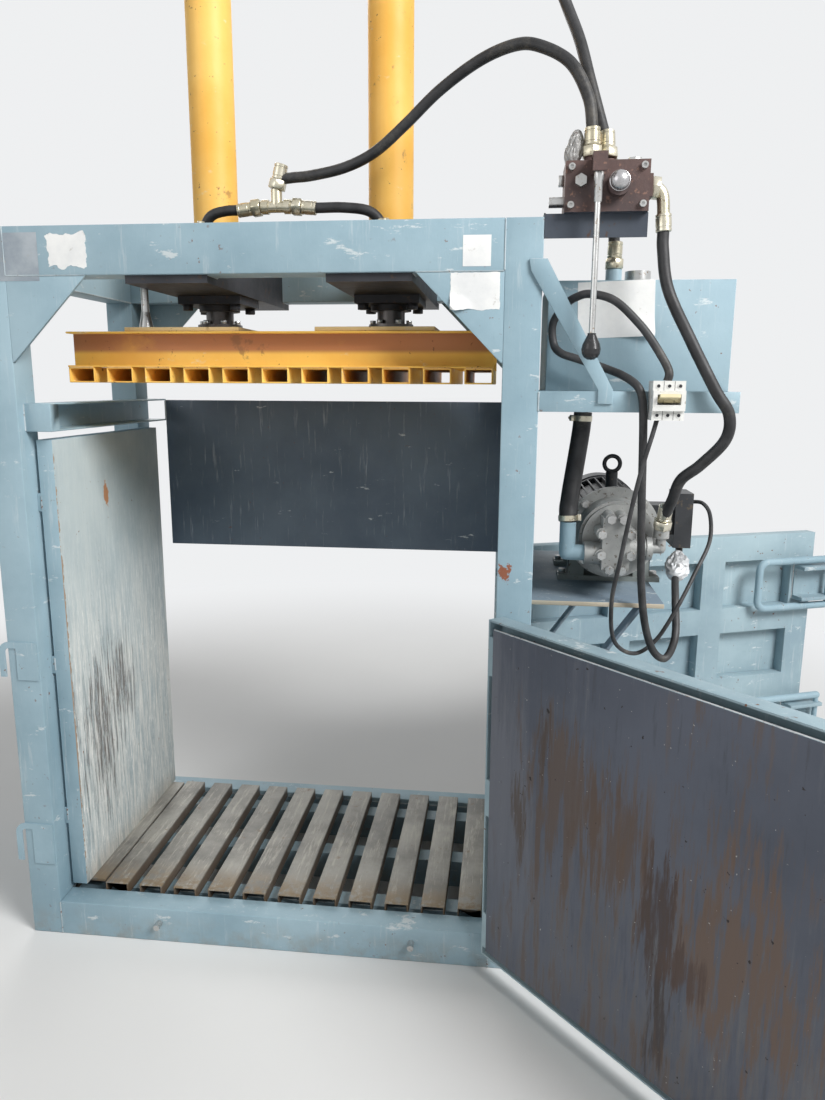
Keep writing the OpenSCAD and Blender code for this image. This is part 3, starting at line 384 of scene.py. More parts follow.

# %% [markdown]
# ## The orange press
# The platen, its channels and the cylinders were painted yellow-orange. The
# paint is thin and sun-bleached on the upper faces and goes to red-brown in
# the corner of the channel: rust, with the top flange's shadow painted in.

# %% Mix the orange paint
def orange_paint(name, dark, light, flange_shadow_and_rust=0.0):
    f = Finish(name, roughness=0.5)
    f.paint(dark, light, 3)
    rub = f.noise(11, 7, 0.72, f.stretched((1.2, 1.2, 2.2), (0.3, 0.6, 0.2)))
    f.layer(f.fade(rub, 0.60, 0.68, 0.0, 0.5), (0.80, 0.70, 0.52))
    # Red-brown on the upper web: rust, and the top flange's painted shadow.
    if flange_shadow_and_rust:
        web = f.fade(f.axis("Z"), 1.705, 1.690, flange_shadow_and_rust, 0.0)
        inner = f.fade(f.axis("Y"), -0.262, -0.247)
        f.layer(f.both(web, f.both(inner, f.fade(f.noise(6, 5), 0.1, 0.40))), (0.44, 0.18, 0.07))
    f.layer(f.fade(f.noise(48, 5, 0.65), 0.655, 0.70), RUST)
    f.layer(f.fade(f.noise(9, 6, 0.7), 0.635, 0.70, 0.0, 0.6), (0.22, 0.11, 0.05))
    f.relief(f.noise(30, 6, 0.7), 0.0006)
    return f.rough(rub, 0.4, 0.65).done()


press_paint = orange_paint("orange_press_paint", (0.80, 0.44, 0.085), (0.92, 0.60, 0.15))
channel_paint = orange_paint("orange_channel_paint", (0.80, 0.42, 0.065), (0.93, 0.58, 0.12), flange_shadow_and_rust=1.0)
cream_plate_paint = orange_paint("cream_plate_paint", (0.78, 0.52, 0.22), (0.90, 0.69, 0.36))
cylinder_paint = orange_paint("orange_cylinder_paint", (0.86, 0.45, 0.075), (0.95, 0.58, 0.15))

# %% [markdown]
# ## Bare metals, castings and rubber
# The remaining finishes are small surfaces: oily steel on the rods, zinc on
# the hose ends, rust on the valve casting, a grey gear-pump casting, the
# motor's grey-green enamel, and rubber with a dusting of dry earth.

# %% Mix metals and castings
def plain_metal(name, dark, light, roughness, metallic, grain=40.0, specks=None, depth=0.0003):
    f = Finish(name, roughness=roughness, metallic=metallic)
    grainy = f.noise(grain, 6, 0.7)
    f.paint(dark, light, grain / 6, 5)
    if specks:
        f.layer(f.fade(f.noise(grain * 1.7, 4, 0.6), 0.60, 0.68), specks)
    f.relief(grainy, depth)
    return f.rough(grainy, roughness - 0.1, roughness + 0.12).done()


oily_rod = plain_metal(
    "oily_rod_steel", (0.05, 0.045, 0.045), (0.14, 0.13, 0.125), 0.32, 0.75, 18, (0.10, 0.055, 0.03),
)
# Near-black for the breaker's screws and seams, and as painted shade on the cylinder bridges, glands and
# gland bolts under the top beam.
steel_dark_and_painted_shade = plain_metal(
    "dark_metal_with_painted_shade", (0.018, 0.019, 0.023), (0.042, 0.043, 0.05), 0.55, 0.1, 30, (0.06, 0.038, 0.028),
)
zinc = plain_metal("zinc_plate", (0.50, 0.46, 0.34), (0.68, 0.64, 0.53), 0.3, 0.85, 60, (0.30, 0.25, 0.17))
bright_steel = plain_metal(
    "bright_steel", (0.46, 0.46, 0.45), (0.62, 0.62, 0.61), 0.3, 0.9, 70, (0.28, 0.2, 0.13),
)
dome_steel = plain_metal(
    "polished_dome_steel", (0.42, 0.41, 0.42), (0.56, 0.55, 0.56), 0.26, 0.9, 24, (0.30, 0.27, 0.26),
)
rusty_cast = plain_metal(
    "rusty_valve_casting", (0.058, 0.042, 0.042), (0.130, 0.076, 0.066), 0.6, 0.15, 45,
    (0.21, 0.12, 0.09), 0.0012,
)
# The valve's shelf is frame-blue steel darkened as painted shade.
painted_shade_on_shelf = plain_metal(
    "valve_shelf_with_painted_shade", (0.026, 0.034, 0.05), (0.06, 0.072, 0.092), 0.5, 0.1, 26, (0.07, 0.04, 0.03),
)
grey_film = plain_metal(
    "grey_wrapping_film", (0.22, 0.21, 0.20), (0.52, 0.52, 0.51), 0.28, 0.1, 30, (0.13, 0.10, 0.09), 0.004,
)
pump_cast = plain_metal(
    "grey_pump_casting", (0.27, 0.275, 0.27), (0.46, 0.465, 0.45), 0.5, 0.4, 55, (0.15, 0.13, 0.11), 0.0009,
)
motor_enamel = plain_metal(
    "grey_green_enamel", (0.20, 0.225, 0.215), (0.31, 0.335, 0.32), 0.48, 0.1, 25, (0.12, 0.10, 0.08), 0.0006,
)
# Black for the fan cowl, eye bolt and terminal box, and as painted shade on the motor's upper ribs.
black_paint_and_painted_shade = plain_metal(
    "motor_black_and_painted_shade", (0.018, 0.02, 0.023), (0.05, 0.052, 0.056), 0.42, 0.1, 28,
    (0.10, 0.08, 0.06), 0.0005,
)
white_case = plain_metal(
    "white_breaker_case", (0.70, 0.70, 0.67), (0.80, 0.80, 0.78), 0.42, 0.0, 22, (0.45, 0.42, 0.36), 0.0002,
)
cream_toggle = plain_metal("cream_toggle", (0.62, 0.54, 0.33), (0.75, 0.67, 0.44), 0.38, 0.0, 30)
knob_black = plain_metal(
    "black_knob", (0.012, 0.012, 0.013), (0.03, 0.03, 0.032), 0.22, 0.0, 26, (0.07, 0.065, 0.06), 0.0002,
)
tape_silver = plain_metal(
    "silver_tape", (0.50, 0.51, 0.52), (0.78, 0.79, 0.80), 0.52, 0.45, 35, (0.30, 0.30, 0.30), 0.0015,
)


def dusty_rubber(name, dark, light):
    f = Finish(name, roughness=0.5)
    f.paint(dark, light, 20, 5)
    f.layer(f.fade(f.noise(7, 7, 0.75), 0.52, 0.72, 0.0, 0.55), (0.16, 0.145, 0.12))
    f.relief(f.noise(220, 3, 0.6), 0.0004)
    return f.rough(f.noise(9, 5), 0.36, 0.66).done()


hose_rubber = dusty_rubber("hose_rubber", (0.014, 0.014, 0.015), (0.035, 0.035, 0.037))
cable_rubber = dusty_rubber("cable_rubber", (0.02, 0.02, 0.021), (0.05, 0.05, 0.052))


def old_paper(name, clean, grey):
    f = Finish(name, roughness=0.7)
    f.paint(grey, clean, 9, 5)
    f.layer(f.fade(f.noise(40, 6, 0.75), 0.60, 0.70, 0.0, 0.6), (0.38, 0.35, 0.30))
    f.relief(f.noise(16, 4, 0.6), 0.0012)
    return f.done()


white_paper = old_paper("white_paper", (0.82, 0.82, 0.80), (0.68, 0.69, 0.69))
grey_plate = old_paper("grey_plate", (0.40, 0.44, 0.47), (0.24, 0.28, 0.32))
print("mixed", len(bpy.data.materials), "materials in all")

# %% [markdown]
# ## Hoses and cables
# A hose is a fixed length of something stiff, so it leaves each fitting
# straight and bends in wide curves. The routes are the construction's own
# points in millimetres.

# %% Draw a smooth hose through its points
STEPS_BETWEEN_POINTS = 10


def through(before, start, end, after, t):
    return 0.5 * (
        2 * start
        + (end - before) * t
        + (2 * before - 5 * start + 4 * end - after) * t * t
        + (3 * start - before - 3 * end + after) * t ** 3
    )


def smooth_line(points_mm):
    points = [Vector(p) * MM for p in points_mm]
    line = []
    for i in range(len(points) - 1):
        before, after = points[max(i - 1, 0)], points[min(i + 2, len(points) - 1)]
        for step in range(STEPS_BETWEEN_POINTS):
            line.append(through(before, points[i], points[i + 1], after, step / STEPS_BETWEEN_POINTS))
    return line + [points[-1]]


def lay_cord(node, points_mm, diameter_mm, material, with_pieces=()):
    line = smooth_line(points_mm)
    curve = bpy.data.curves.new(node + "_line", "CURVE")
    curve.dimensions = "3D"
    curve.bevel_depth = diameter_mm * MM / 2
    curve.bevel_resolution = 4
    curve.use_fill_caps = True
    spline = curve.splines.new("POLY")
    spline.points.add(len(line) - 1)
    for point, place in zip(spline.points, line):
        point.co = (*place, 1.0)
    spline.use_smooth = True
    cord = linked(node + "_dressed", curve)
    curve.materials.append(material)
    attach(cord, "frame")
    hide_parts(node)
    return line


# %% The routes, from one fitting to the other
ROUTES = {
    "hose_lower_feed": [
        (827, -375, 2132), (824, -374, 2203), (812, -368, 2269), (770, -348, 2347), (700, -320, 2394),
        (642, -290, 2409), (558, -250, 2393), (457, -215, 2340), (366, -190, 2269), (284, -170, 2211),
        (200, -150, 2180), (105, -132, 2166), (50, -130, 2162), (16, -130, 2156), (6, -130, 2132),
    ],
    "hose_upper_feed": [
        (866, -355, 2132), (863, -346, 2170), (854, -330, 2204), (821, -300, 2323), (796, -260, 2425),
        (759, -220, 2529), (700, -230, 2660), (610, -240, 2800), (490, -240, 2930), (350, -220, 3050),
        (210, -185, 3160), (100, -150, 3235), (45, -132, 3262), (14, -130, 3252), (6, -130, 3222),
    ],
    "hose_pressure": [
        (965, -375, 2065), (983, -375, 2060), (994, -376, 2037), (998, -378, 1971), (1000, -380, 1926),
        (1016, -390, 1835), (1070, -412, 1720), (1130, -432, 1605), (1166, -432, 1547), (1165, -418, 1487),
        (1117, -396, 1425), (1078, -372, 1385), (1065, -350, 1332), (1057, -310, 1285), (1054, -294, 1250),
    ],
    "hose_return": [
        (850, -313, 2080), (850, -294, 2095), (848, -284, 2150), (857, -280, 2200), (874, -272, 2190),
        (886, -264, 2140), (895, -256, 2060), (901, -250, 1971), (904, -250, 1930), (904, -250, 1900),
    ],
    "hose_suction": [
        (848, -200, 1544), (845, -202, 1496), (834, -215, 1416), (820, -250, 1330), (814, -284, 1285),
        (814, -290, 1262),
    ],
    "hose_lower_left": [
        (-38, -130, 2088), (-90, -130, 2082), (-141, -129, 2080), (-184, -124, 2068), (-206, -117, 2035),
        (-212, -113.5, 1990),
    ],
    "hose_lower_right": [
        (50, -130, 2088), (110, -130, 2084), (190, -128, 2084), (260, -124, 2074), (294, -118, 2040),
        (303, -113.5, 1990),
    ],
    "hose_upper_left": [
        (-38, -130, 3178), (-90, -130, 3172), (-141, -129, 3170), (-184, -124, 3158), (-206, -117, 3125),
        (-212, -113.5, 3080),
    ],
    "hose_upper_right": [
        (50, -130, 3178), (110, -130, 3174), (190, -128, 3174), (260, -124, 3164), (294, -118, 3130),
        (303, -113.5, 3080),
    ],
    "cable_supply": [
        (1019, -437, 1625), (1020, -436, 1650), (990, -418, 1705), (954, -402, 1755), (895, -382, 1812),
        (838, -362, 1830), (804, -348, 1823), (781, -332, 1806), (755, -312, 1766), (758, -314, 1716),
        (776, -332, 1692), (815, -346, 1678), (884, -352, 1655), (925, -386, 1636), (954, -418, 1612),
        (966, -426, 1580), (971, -424, 1530), (976, -412, 1458), (982, -395, 1360), (990, -380, 1230),
        (998, -370, 1120), (1015, -360, 1010), (1042, -348, 935), (1078, -335, 912), (1104, -310, 965),
        (1110, -250, 1050), (1120, -180, 1105), (1140, -110, 1130), (1150, -60, 1160),
    ],
    "cable_thin": [
        (1000, -437, 1534), (990, -450, 1500), (972, -454, 1430), (955, -446, 1337), (934, -425, 1183),
        (922, -405, 1075), (938, -372, 965), (996, -336, 921), (1052, -320, 954), (1100, -318, 1040),
        (1153, -270, 1131), (1196, -215, 1203), (1208, -150, 1265), (1200, -90, 1290), (1175, -60, 1290),
    ],
}
HOSE_MM = 28
SUCTION_MM = 48
CABLES_MM = {"cable_supply": 20, "cable_thin": 11}

# %% [markdown]
# ## Crimped ends and nuts
# Each pressure hose ends in a sleeve crimped on in flats, with a hex nut
# below it. The sleeve is a turned part, so its outline, grooves included,
# is spun round once in a few flats. The nut is a six-sided prism with its
# edges bevelled.

# %% Turn a profile round its own axis
def turned(outline_mm, sides=24):
    """Spins (radius, height) pairs round +Z."""
    bm = bmesh.new()
    points = [bm.verts.new(mm(r, 0, z)) for r, z in outline_mm]
    edges = [bm.edges.new(pair) for pair in zip(points, points[1:])]
    bmesh.ops.spin(
        bm, geom=points + edges, cent=(0, 0, 0), axis=(0, 0, 1),
        angle=2 * pi, steps=sides, use_merge=True, use_duplicate=False,
    )
    bmesh.ops.remove_doubles(bm, verts=bm.verts, dist=0.01 * MM)
    bmesh.ops.recalc_face_normals(bm, faces=bm.faces)
    return bm


def bevel(bm, edges, width_mm, segments=1):
    bmesh.ops.bevel(
        bm, geom=edges, offset=width_mm * MM, offset_type="OFFSET", segments=segments,
        profile=0.5, affect="EDGES", material=-1, clamp_overlap=True,
    )


CORNER_PER_HEIGHT = 0.06


def hex_prism(across_mm, height_mm, at_mm=0.0):
    bm = bmesh.new()
    radius = across_mm * MM / 2 / cos(pi / 6)
    bmesh.ops.create_cone(
        bm, cap_ends=True, segments=6, radius1=radius, radius2=radius, depth=height_mm * MM,
    )
    bevel(bm, list(bm.edges), CORNER_PER_HEIGHT * height_mm)
    bmesh.ops.translate(bm, verts=bm.verts, vec=mm(0, 0, at_mm + height_mm / 2))
    return bm


def small_box(size_mm, corner_mm, segments=1):
    bm = bmesh.new()
    bmesh.ops.create_cube(bm, size=1)
    bmesh.ops.scale(bm, verts=bm.verts, vec=mm(*size_mm))
    bevel(bm, list(bm.edges), corner_mm, segments)
    return bm


def joined(parts):
    """Puts several bmeshes into one."""
    whole = bmesh.new()
    for part in parts:
        spare = bpy.data.meshes.new("spare")
        part.to_mesh(spare)
        part.free()
        whole.from_mesh(spare)
        bpy.data.meshes.remove(spare)
    return whole


def placed(bm, at, direction=(0, 0, 1)):
    bm.transform(Matrix.Translation(Vector(at)) @ aim(direction))
    return bm


# %% [markdown]
# The pressure hose leaves the valve sideways and turns down at once, so a
# bent steel tube comes between its nut and its sleeve. The tube is a ring
# carried along the hose's own line.

# %% Make the hose ends
def swept(line, radius_mm, sides=20):
    """Carries a ring along a line and caps it."""
    bm = bmesh.new()
    bmesh.ops.create_circle(bm, cap_ends=True, segments=sides, radius=radius_mm * MM)
    bm.transform(Matrix.Translation(line[0]) @ aim(line[1] - line[0]))
    bm.faces.ensure_lookup_table()
    face = bm.faces[0]
    for i in range(1, len(line)):
        face = bmesh.ops.extrude_discrete_faces(bm, faces=[face])["faces"][0]
        ahead_of = line[min(i + 1, len(line) - 1)] - line[i - 1]
        turn_by = face.normal.rotation_difference(ahead_of).to_matrix()
        middle = face.calc_center_median()
        for v in face.verts:
            v.co = line[i] + turn_by @ (v.co - middle)
        face.normal_update()
    bmesh.ops.remove_doubles(bm, verts=bm.verts, dist=0.001 * MM)
    bmesh.ops.recalc_face_normals(bm, faces=bm.faces)
    return bm


CRIMP_FLATS = 14
SLEEVE_MM = (26, 66)
TUBE_RADIUS_MM = 14.8
BENT_TUBE, SLEEVE_AT, SLEEVE_TOWARDS = slice(2, 27), 21, 25


def crimped_sleeve():
    start, end = SLEEVE_MM
    inner, outer = HOSE_MM / 2 - 1, HOSE_MM / 2 + 4.5
    rings = [(inner - 2, start), (inner, start), (outer - 1, start + 0.5), (outer, start + 2)]
    for z in (start + 6, end - 11):
        rings += [(outer, z), (outer - 0.9, z + 1), (outer - 0.9, z + 3), (outer, z + 4)]
    rings += [(outer, end - 1.5), (outer - 1.5, end), (inner, end), (inner - 2, end)]
    return turned(rings, CRIMP_FLATS)


def end_pieces(node, line):
    pieces = []
    for label, at, towards in (("start", line[0], line[3]), ("end", line[-1], line[-4])):
        if (node, label) == ("hose_pressure", "start"):
            nut = placed(hex_prism(46, 19), at, towards - at)
            sleeve = placed(crimped_sleeve(), line[SLEEVE_AT], line[SLEEVE_TOWARDS] - line[SLEEVE_AT])
            bm = joined([nut, swept(line[BENT_TUBE], TUBE_RADIUS_MM), sleeve])
        else:
            bm = placed(joined([crimped_sleeve(), hex_prism(42, 24, 1)]), at, towards - at)
        pieces.append(add_piece(f"{node}_{label}_fitting", bm, "frame", zinc))
    return pieces


for node in ("hose_lower_feed", "hose_upper_feed", "hose_pressure", "hose_return",
             "hose_lower_left", "hose_lower_right", "hose_upper_left", "hose_upper_right"):
    line = smooth_line(ROUTES[node])
    lay_cord(node, ROUTES[node], HOSE_MM, hose_rubber, with_pieces=end_pieces(node, line))
for node, diameter in CABLES_MM.items():
    lay_cord(node, ROUTES[node], diameter, cable_rubber)

# %% [markdown]
# ## The suction hose and its clamps
# The thick hose from the tank to the pump is only pushed on, so a worm
# clamp holds each end: a thin band round the hose, with a small housing and
# a screw on its side.

# %% Add the suction hose with two clamps
BAND_MM = 14


def worm_clamp():
    r = SUCTION_MM / 2
    band = turned([(r - 0.5, 0), (r + 1.6, 0), (r + 1.6, BAND_MM), (r - 0.5, BAND_MM)], 40)
    housing = placed(small_box((9, 20, BAND_MM + 2), 1.5, 2), mm(r + 5, 0, BAND_MM / 2))
    screw = placed(hex_prism(9, 7), mm(r + 6, 10, BAND_MM / 2), (0, 1, 0))
    return joined([band, housing, screw])


def suction_clamp(place, at, step):
    """Puts a clamp on the suction hose, facing one way along it."""
    along = suction_line[at + step] - suction_line[at - step]
    bm = placed(worm_clamp(), suction_line[at], along)
    return add_piece("suction_clamp_" + place, bm, "frame", zinc)


suction_line = smooth_line(ROUTES["hose_suction"])
clamps = [suction_clamp("top", 3, 1), suction_clamp("foot", -3, -1)]
lay_cord("hose_suction", ROUTES["hose_suction"], SUCTION_MM, hose_rubber, with_pieces=clamps)

# %% [markdown]
# ## Soft edges on folded and welded steel
# Real tube has rounded corners, and folded sheet has no razor edges. The
# construction's triangles are copied, merged and dissolved back into flat
# faces, and then each hard edge gets a small round with the bevel operator.
# The copy stands for the original.

# %% Round the edges of a construction node
HARD_ABOVE = radians(50)


def soften(node, material, body, width_mm, segments=2):
    bm = bmesh.new()
    bm.from_mesh(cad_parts[node].data)
    bmesh.ops.remove_doubles(bm, verts=bm.verts, dist=0.02 * MM)
    bmesh.ops.dissolve_limit(
        bm, angle_limit=radians(0.5), verts=bm.verts, edges=bm.edges, use_dissolve_boundaries=False,
    )
    hard = [e for e in bm.edges if len(e.link_faces) == 2 and e.calc_face_angle(0) > HARD_ABOVE]
    bevel(bm, hard, width_mm, segments)
    bmesh.ops.triangulate(bm, faces=[f for f in bm.faces if len(f.verts) > 4])
    return add_piece(node + "_softened", bm, body, material, replaces=(node,))


SOFT_FRAME = {
    "sills": 5, "side_sills": 5, "front_posts": 6, "rear_posts": 6, "top_beams": 6, "top_side_rails": 6,
    "side_rails": 3, "tank": 4, "rear_panel": 1.5, "gussets": 1, "motor_platform": 1.5, "tank_shelf": 1.5,
}
SPECIAL_PAINT = {"front_posts": blue_post_paint, "rear_panel": shaded_paint, "motor_platform": platform_with_painted_shade}
for node, width in SOFT_FRAME.items():
    paint = SPECIAL_PAINT.get(node, blue_paint)
    soften(node, paint, "frame", width, 3 if width > 4 else 2)


def one_sided(piece, facing, second):
    """Keeps a piece's finish on the faces that look one way only."""
    piece.data.materials.append(second)
    for face in piece.data.polygons:
        face.material_index = 0 if face.normal.dot(Vector(facing)) > 0.5 else 1


for side, inward in {"left": (1, 0, 0), "right": (-1, 0, 0)}.items():
    one_sided(soften("side_wall_" + side, wall_paint, "frame", 2), inward, blue_paint)
soften("floor_slats", slat_finish, "frame", 3, 3)
soften("platen_tubes", press_paint, "platen", 3, 3)
soften("platen_channels", channel_paint, "platen", 2)
soften("platen_plates", cream_plate_paint, "platen", 1.5)
INSIDE_OF_DOOR = {"front": (-0.719, -0.695, 0), "rear": (-0.370, 0.929, 0)}
for side, inward in INSIDE_OF_DOOR.items():
    soften(side + "_door_frame", blue_door_paint, side + "_door", 3)
    liner = soften(side + "_door_liner", lining_stains_and_painted_shade, side + "_door", 1)
    one_sided(liner, inward, blue_door_paint)

# %% [markdown]
# ## Finishes for the nodes that keep their own shape
# Everything else stays as it was built. Each object gets its finish through
# its material slots, so nothing is left in a plain colour.

# %% Give every remaining node its finish
KEPT = {
    blue_paint: ["floor_bearers", "keepers", "suction_pipe", "hinge_ears",
                 "front_bail_upper", "front_bail_lower", "rear_bail_upper", "rear_bail_lower"],
    slat_finish: ["floor_edge"],
    steel_dark_and_painted_shade: ["cylinder_bridges", "cylinder_glands"],
    cylinder_paint: ["cylinder_barrels"],
    oily_rod: ["piston_rods", "pistons"],
    bright_steel: ["sill_pins", "guide_rod", "tank_lid", "valve_spool", "motor_rotor"],
    zinc: ["hose_fittings"],
    rusty_cast: ["valve_block"],
    motor_enamel: ["motor_body"],
    black_paint_and_painted_shade: ["fan_cowl"],
    pump_cast: ["pump"],
    white_case: ["breaker"],
    cream_toggle: ["breaker_toggle"],
}
for material, nodes in KEPT.items():
    for node in nodes:
        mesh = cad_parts[node].data
        mesh.materials.clear()
        mesh.materials.append(material)
print("finished", sum(len(nodes) for nodes in KEPT.values()), "nodes as they were built")

# %% [markdown]
# Two nodes hold pieces of two finishes. The motor's eye bolt and terminal
# box are black, and its upper ribs are black as painted shade. The shelf that
# the valve stands on is frame blue, darkened as painted shade. Their faces
# are told apart by where they lie.

# %% Give two nodes a second finish
TERMINAL_BOX_FROM = 1.121
# Faces behind and above these limits are the upper ribs, black as painted shade.
PAINTED_SHADE_RIBS_BEHIND, PAINTED_SHADE_RIBS_ABOVE = -0.12, 1.13
SHELF_TO = 2.0065
motor_mesh, valve_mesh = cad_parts["motor_body"].data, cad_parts["valve_block"].data
motor_mesh.materials.append(black_paint_and_painted_shade)
valve_mesh.materials.append(painted_shade_on_shelf)
for face in motor_mesh.polygons:
    on_ribs_in_painted_shade = face.center.y > PAINTED_SHADE_RIBS_BEHIND and face.center.z > PAINTED_SHADE_RIBS_ABOVE
    face.material_index = int(on_ribs_in_painted_shade or face.center.x > TERMINAL_BOX_FROM)
for face in valve_mesh.polygons:
    face.material_index = int(face.center.z < SHELF_TO)
print("two finishes each on the motor and the valve")

# %% [markdown]
# ## The valve lever
# The lever is one turning part with a black knob on its end. The knob is
# glossy plastic, while the rod and its eye are bright steel, and their
# faces are told apart by height. A turned collar and a pin head are added.

# %% Split the lever's rod and knob by material
LEVER_MM = (838, -450, 2097)
KNOB_BELOW_MM, COLLAR_BELOW_MM, PIN_AHEAD_MM = 364, 76, 12
KNOB_TOP_M = (LEVER_MM[2] - KNOB_BELOW_MM) * MM
TO_FRONT = (0, -1, 0)
lever_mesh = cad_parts["valve_lever"].data
lever_mesh.materials.clear()
lever_mesh.materials.append(bright_steel)
lever_mesh.materials.append(knob_black)
for face in lever_mesh.polygons:
    face.material_index = int(face.center.z < KNOB_TOP_M)
collar = turned([(6, 0), (8.5, 0), (9.5, 1.5), (9.5, 44), (11.5, 48), (11.5, 62), (6, 62)], 20)
placed(collar, mm(LEVER_MM[0], LEVER_MM[1], LEVER_MM[2] - COLLAR_BELOW_MM))
pin = placed(hex_prism(19, 8), mm(LEVER_MM[0], LEVER_MM[1] - PIN_AHEAD_MM, LEVER_MM[2]), TO_FRONT)
add_piece("lever_collar_and_pin", joined([collar, pin]), "lever", bright_steel)
print("lever knob reaches", round(KNOB_TOP_M, 3), "m")

# %% [markdown]
# ## Weld beads
# The frame is welded by hand, and the beads catch the light. A bead is a
# row of overlapping ripples, so a ring is extruded along the joint and made
# a little wider and narrower in turn. All beads of one body become one
# piece, half sunk in the steel.

# %% Lay weld beads along joints
RIPPLE_MM = 3.2
BEAD_SIDES = 6
SWELL = 1.22


def weld_bead(start_mm, end_mm, radius_mm):
    start, end = Vector(start_mm) * MM, Vector(end_mm) * MM
    steps = max(4, round((end - start).length / (RIPPLE_MM * MM)))
    step = (end - start) / steps
    bm = bmesh.new()
    radius = radius_mm * MM * 0.8
    ring = bmesh.ops.create_circle(bm, cap_ends=True, segments=BEAD_SIDES, radius=radius)["verts"]
    bm.transform(Matrix.Translation(start) @ aim(step))
    face = next(iter(ring[0].link_faces))
    for i in range(steps):
        face = bmesh.ops.extrude_discrete_faces(bm, faces=[face])["faces"][0]
        wide = SWELL if i % 2 == 0 else 1 / SWELL
        middle = face.calc_center_median()
        for v in face.verts:
            v.co = middle + (v.co - middle) * wide + step
    bmesh.ops.remove_doubles(bm, verts=bm.verts, dist=0.001 * MM)
    bmesh.ops.recalc_face_normals(bm, faces=bm.faces)
    return bm


weld_paint = plain_metal("painted_weld", (0.27, 0.35, 0.39), (0.50, 0.56, 0.58), 0.42, 0.15, 60, RUST, 0.0006)
bright_weld = plain_metal("bright_weld", (0.42, 0.44, 0.45), (0.66, 0.67, 0.67), 0.35, 0.7, 80, RUST, 0.0006)
orange_weld = plain_metal("orange_weld", (0.62, 0.32, 0.09), (0.80, 0.50, 0.20), 0.45, 0.1, 60, RUST, 0.0006)

POST_X, FACE_Y, BEAM_Z, SHELVES_X = 632, 405, 1880, 722
CYLINDERS_MM = (-212, 303)
frame_joints = []
for x in (-POST_X, POST_X):
    inward = -1 if x > 0 else 1
    for y in (-FACE_Y, FACE_Y):
        frame_joints += [
            ((x, y, 1882), (x, y, 1998), 2.2),
            ((x + inward * 213, y, BEAM_Z), (x + inward, y, BEAM_Z), 2.2),
            ((x, y, 2), (x, y, 103), 2.4),
        ]
    frame_joints += [((x, -312, BEAM_Z), (x, 312, BEAM_Z), 3), ((x, -330, 105), (x, -315, 105), 3)]
for y in (-330, 330):
    frame_joints += [((-630, y, 88), (630, y, 88), 3)]
for x in CYLINDERS_MM:
    for edge in (x - 107, x + 107):
        frame_joints += [
            ((edge, -392, BEAM_Z), (edge, -316, BEAM_Z), 3),
            ((edge, 316, BEAM_Z), (edge, 392, BEAM_Z), 3),
        ]
frame_joints += [
    ((SHELVES_X, -FACE_Y, 1552), (SHELVES_X, -FACE_Y, 1598), 2.5),
    ((SHELVES_X, -340, 1058), (SHELVES_X, 340, 1058), 3),
    ((SHELVES_X, -339, 641), (SHELVES_X, -291, 641), 2.5),
    ((SHELVES_X, -404, 2006), (SHELVES_X, -318, 2006), 3),
    ((694, -FACE_Y, 1906), (724, -FACE_Y, 1906), 2), ((-POST_X, -374, 1487), (-POST_X, -374, 1558), 3),
    ((-621, -345, 337), (-621, -345, 373), 3), ((-621, -345, 805), (-621, -345, 841), 3),
    ((-621, -345, 1272), (-621, -345, 1308), 3), ((-558, 380, 1487), (-558, 380, 1554), 3),
]
for slat in range(11):
    left, right = -528 + 107 * slat, -458 + 107 * slat
    frame_joints += [((left, y, 88.5), (right, y, 88.5), 2.5) for y in (-290, -230)]
frame_welds = joined([weld_bead(*joint) for joint in frame_joints])
add_piece("frame_weld_beads", frame_welds, "frame", weld_paint)

platen_joints = []
for tube in range(11):
    left, right = -542 + 108 * tube, -476 + 108 * tube
    for y in (-285, 285):
        platen_joints += [((left, y * 0.999, 1656), (right, y * 0.999, 1656), 2.4)]
for x in (-228, 296):
    platen_joints += [((x - 157, -270, 1750), (x + 157, -270, 1750), 3)]
platen_welds = joined([weld_bead(*joint) for joint in platen_joints])
add_piece("platen_weld_beads", platen_welds, "platen", orange_weld)
print("laid", len(frame_joints) + len(platen_joints), "weld beads")

# %% [markdown]
# The lining of each door is stitched to its frame all round. The beads are
# drawn where the closed rear door would have them, and one turn takes them
# to each open door, as in the construction.

# %% Weld the door linings
PIVOT_MM = (646, 439)
REAR_OPEN = radians(-158.3)
FRONT_OPEN = radians(134)
REAR_LIFT_MM = 20


def onto_door(bm, side):
    """Takes a mesh from the closed rear door to a door as it stands."""
    if side == "front":
        bm.transform(Matrix.Diagonal((1, -1, 1, 1)))
        bmesh.ops.reverse_faces(bm, faces=bm.faces)
        sign, angle, lift_mm = -1, FRONT_OPEN, 0
    else:
        sign, angle, lift_mm = 1, REAR_OPEN, REAR_LIFT_MM
    hinge = Matrix.Translation(mm(PIVOT_MM[0], sign * PIVOT_MM[1], 0))
    lift = Matrix.Translation(mm(0, 0, lift_mm))
    bm.transform(lift @ hinge @ Matrix.Rotation(angle, 4, "Z") @ hinge.inverted())
    return bm


def door_welds():
    left, right, low, high, y = -637, 644, 94, 1008, 414.6
    beads = [weld_bead((left, y, z), (right, y, z), 2.3) for z in (high, low)]
    beads += [weld_bead((x, y, low), (x, y, high), 2.3) for x in (left, right)]
    for z, half in ((836, 68), (287, 47)):
        beads.append(weld_bead((-574, 463, z - half), (-574, 463, z + half), 3))
        beads += [weld_bead((-656, 463, z + s * half), (-577, 463, z + s * half), 3) for s in (-1, 1)]
    return joined(beads)


for side in ("front", "rear"):
    add_piece(side + "_door_welds", onto_door(door_welds(), side), side + "_door", bright_weld)

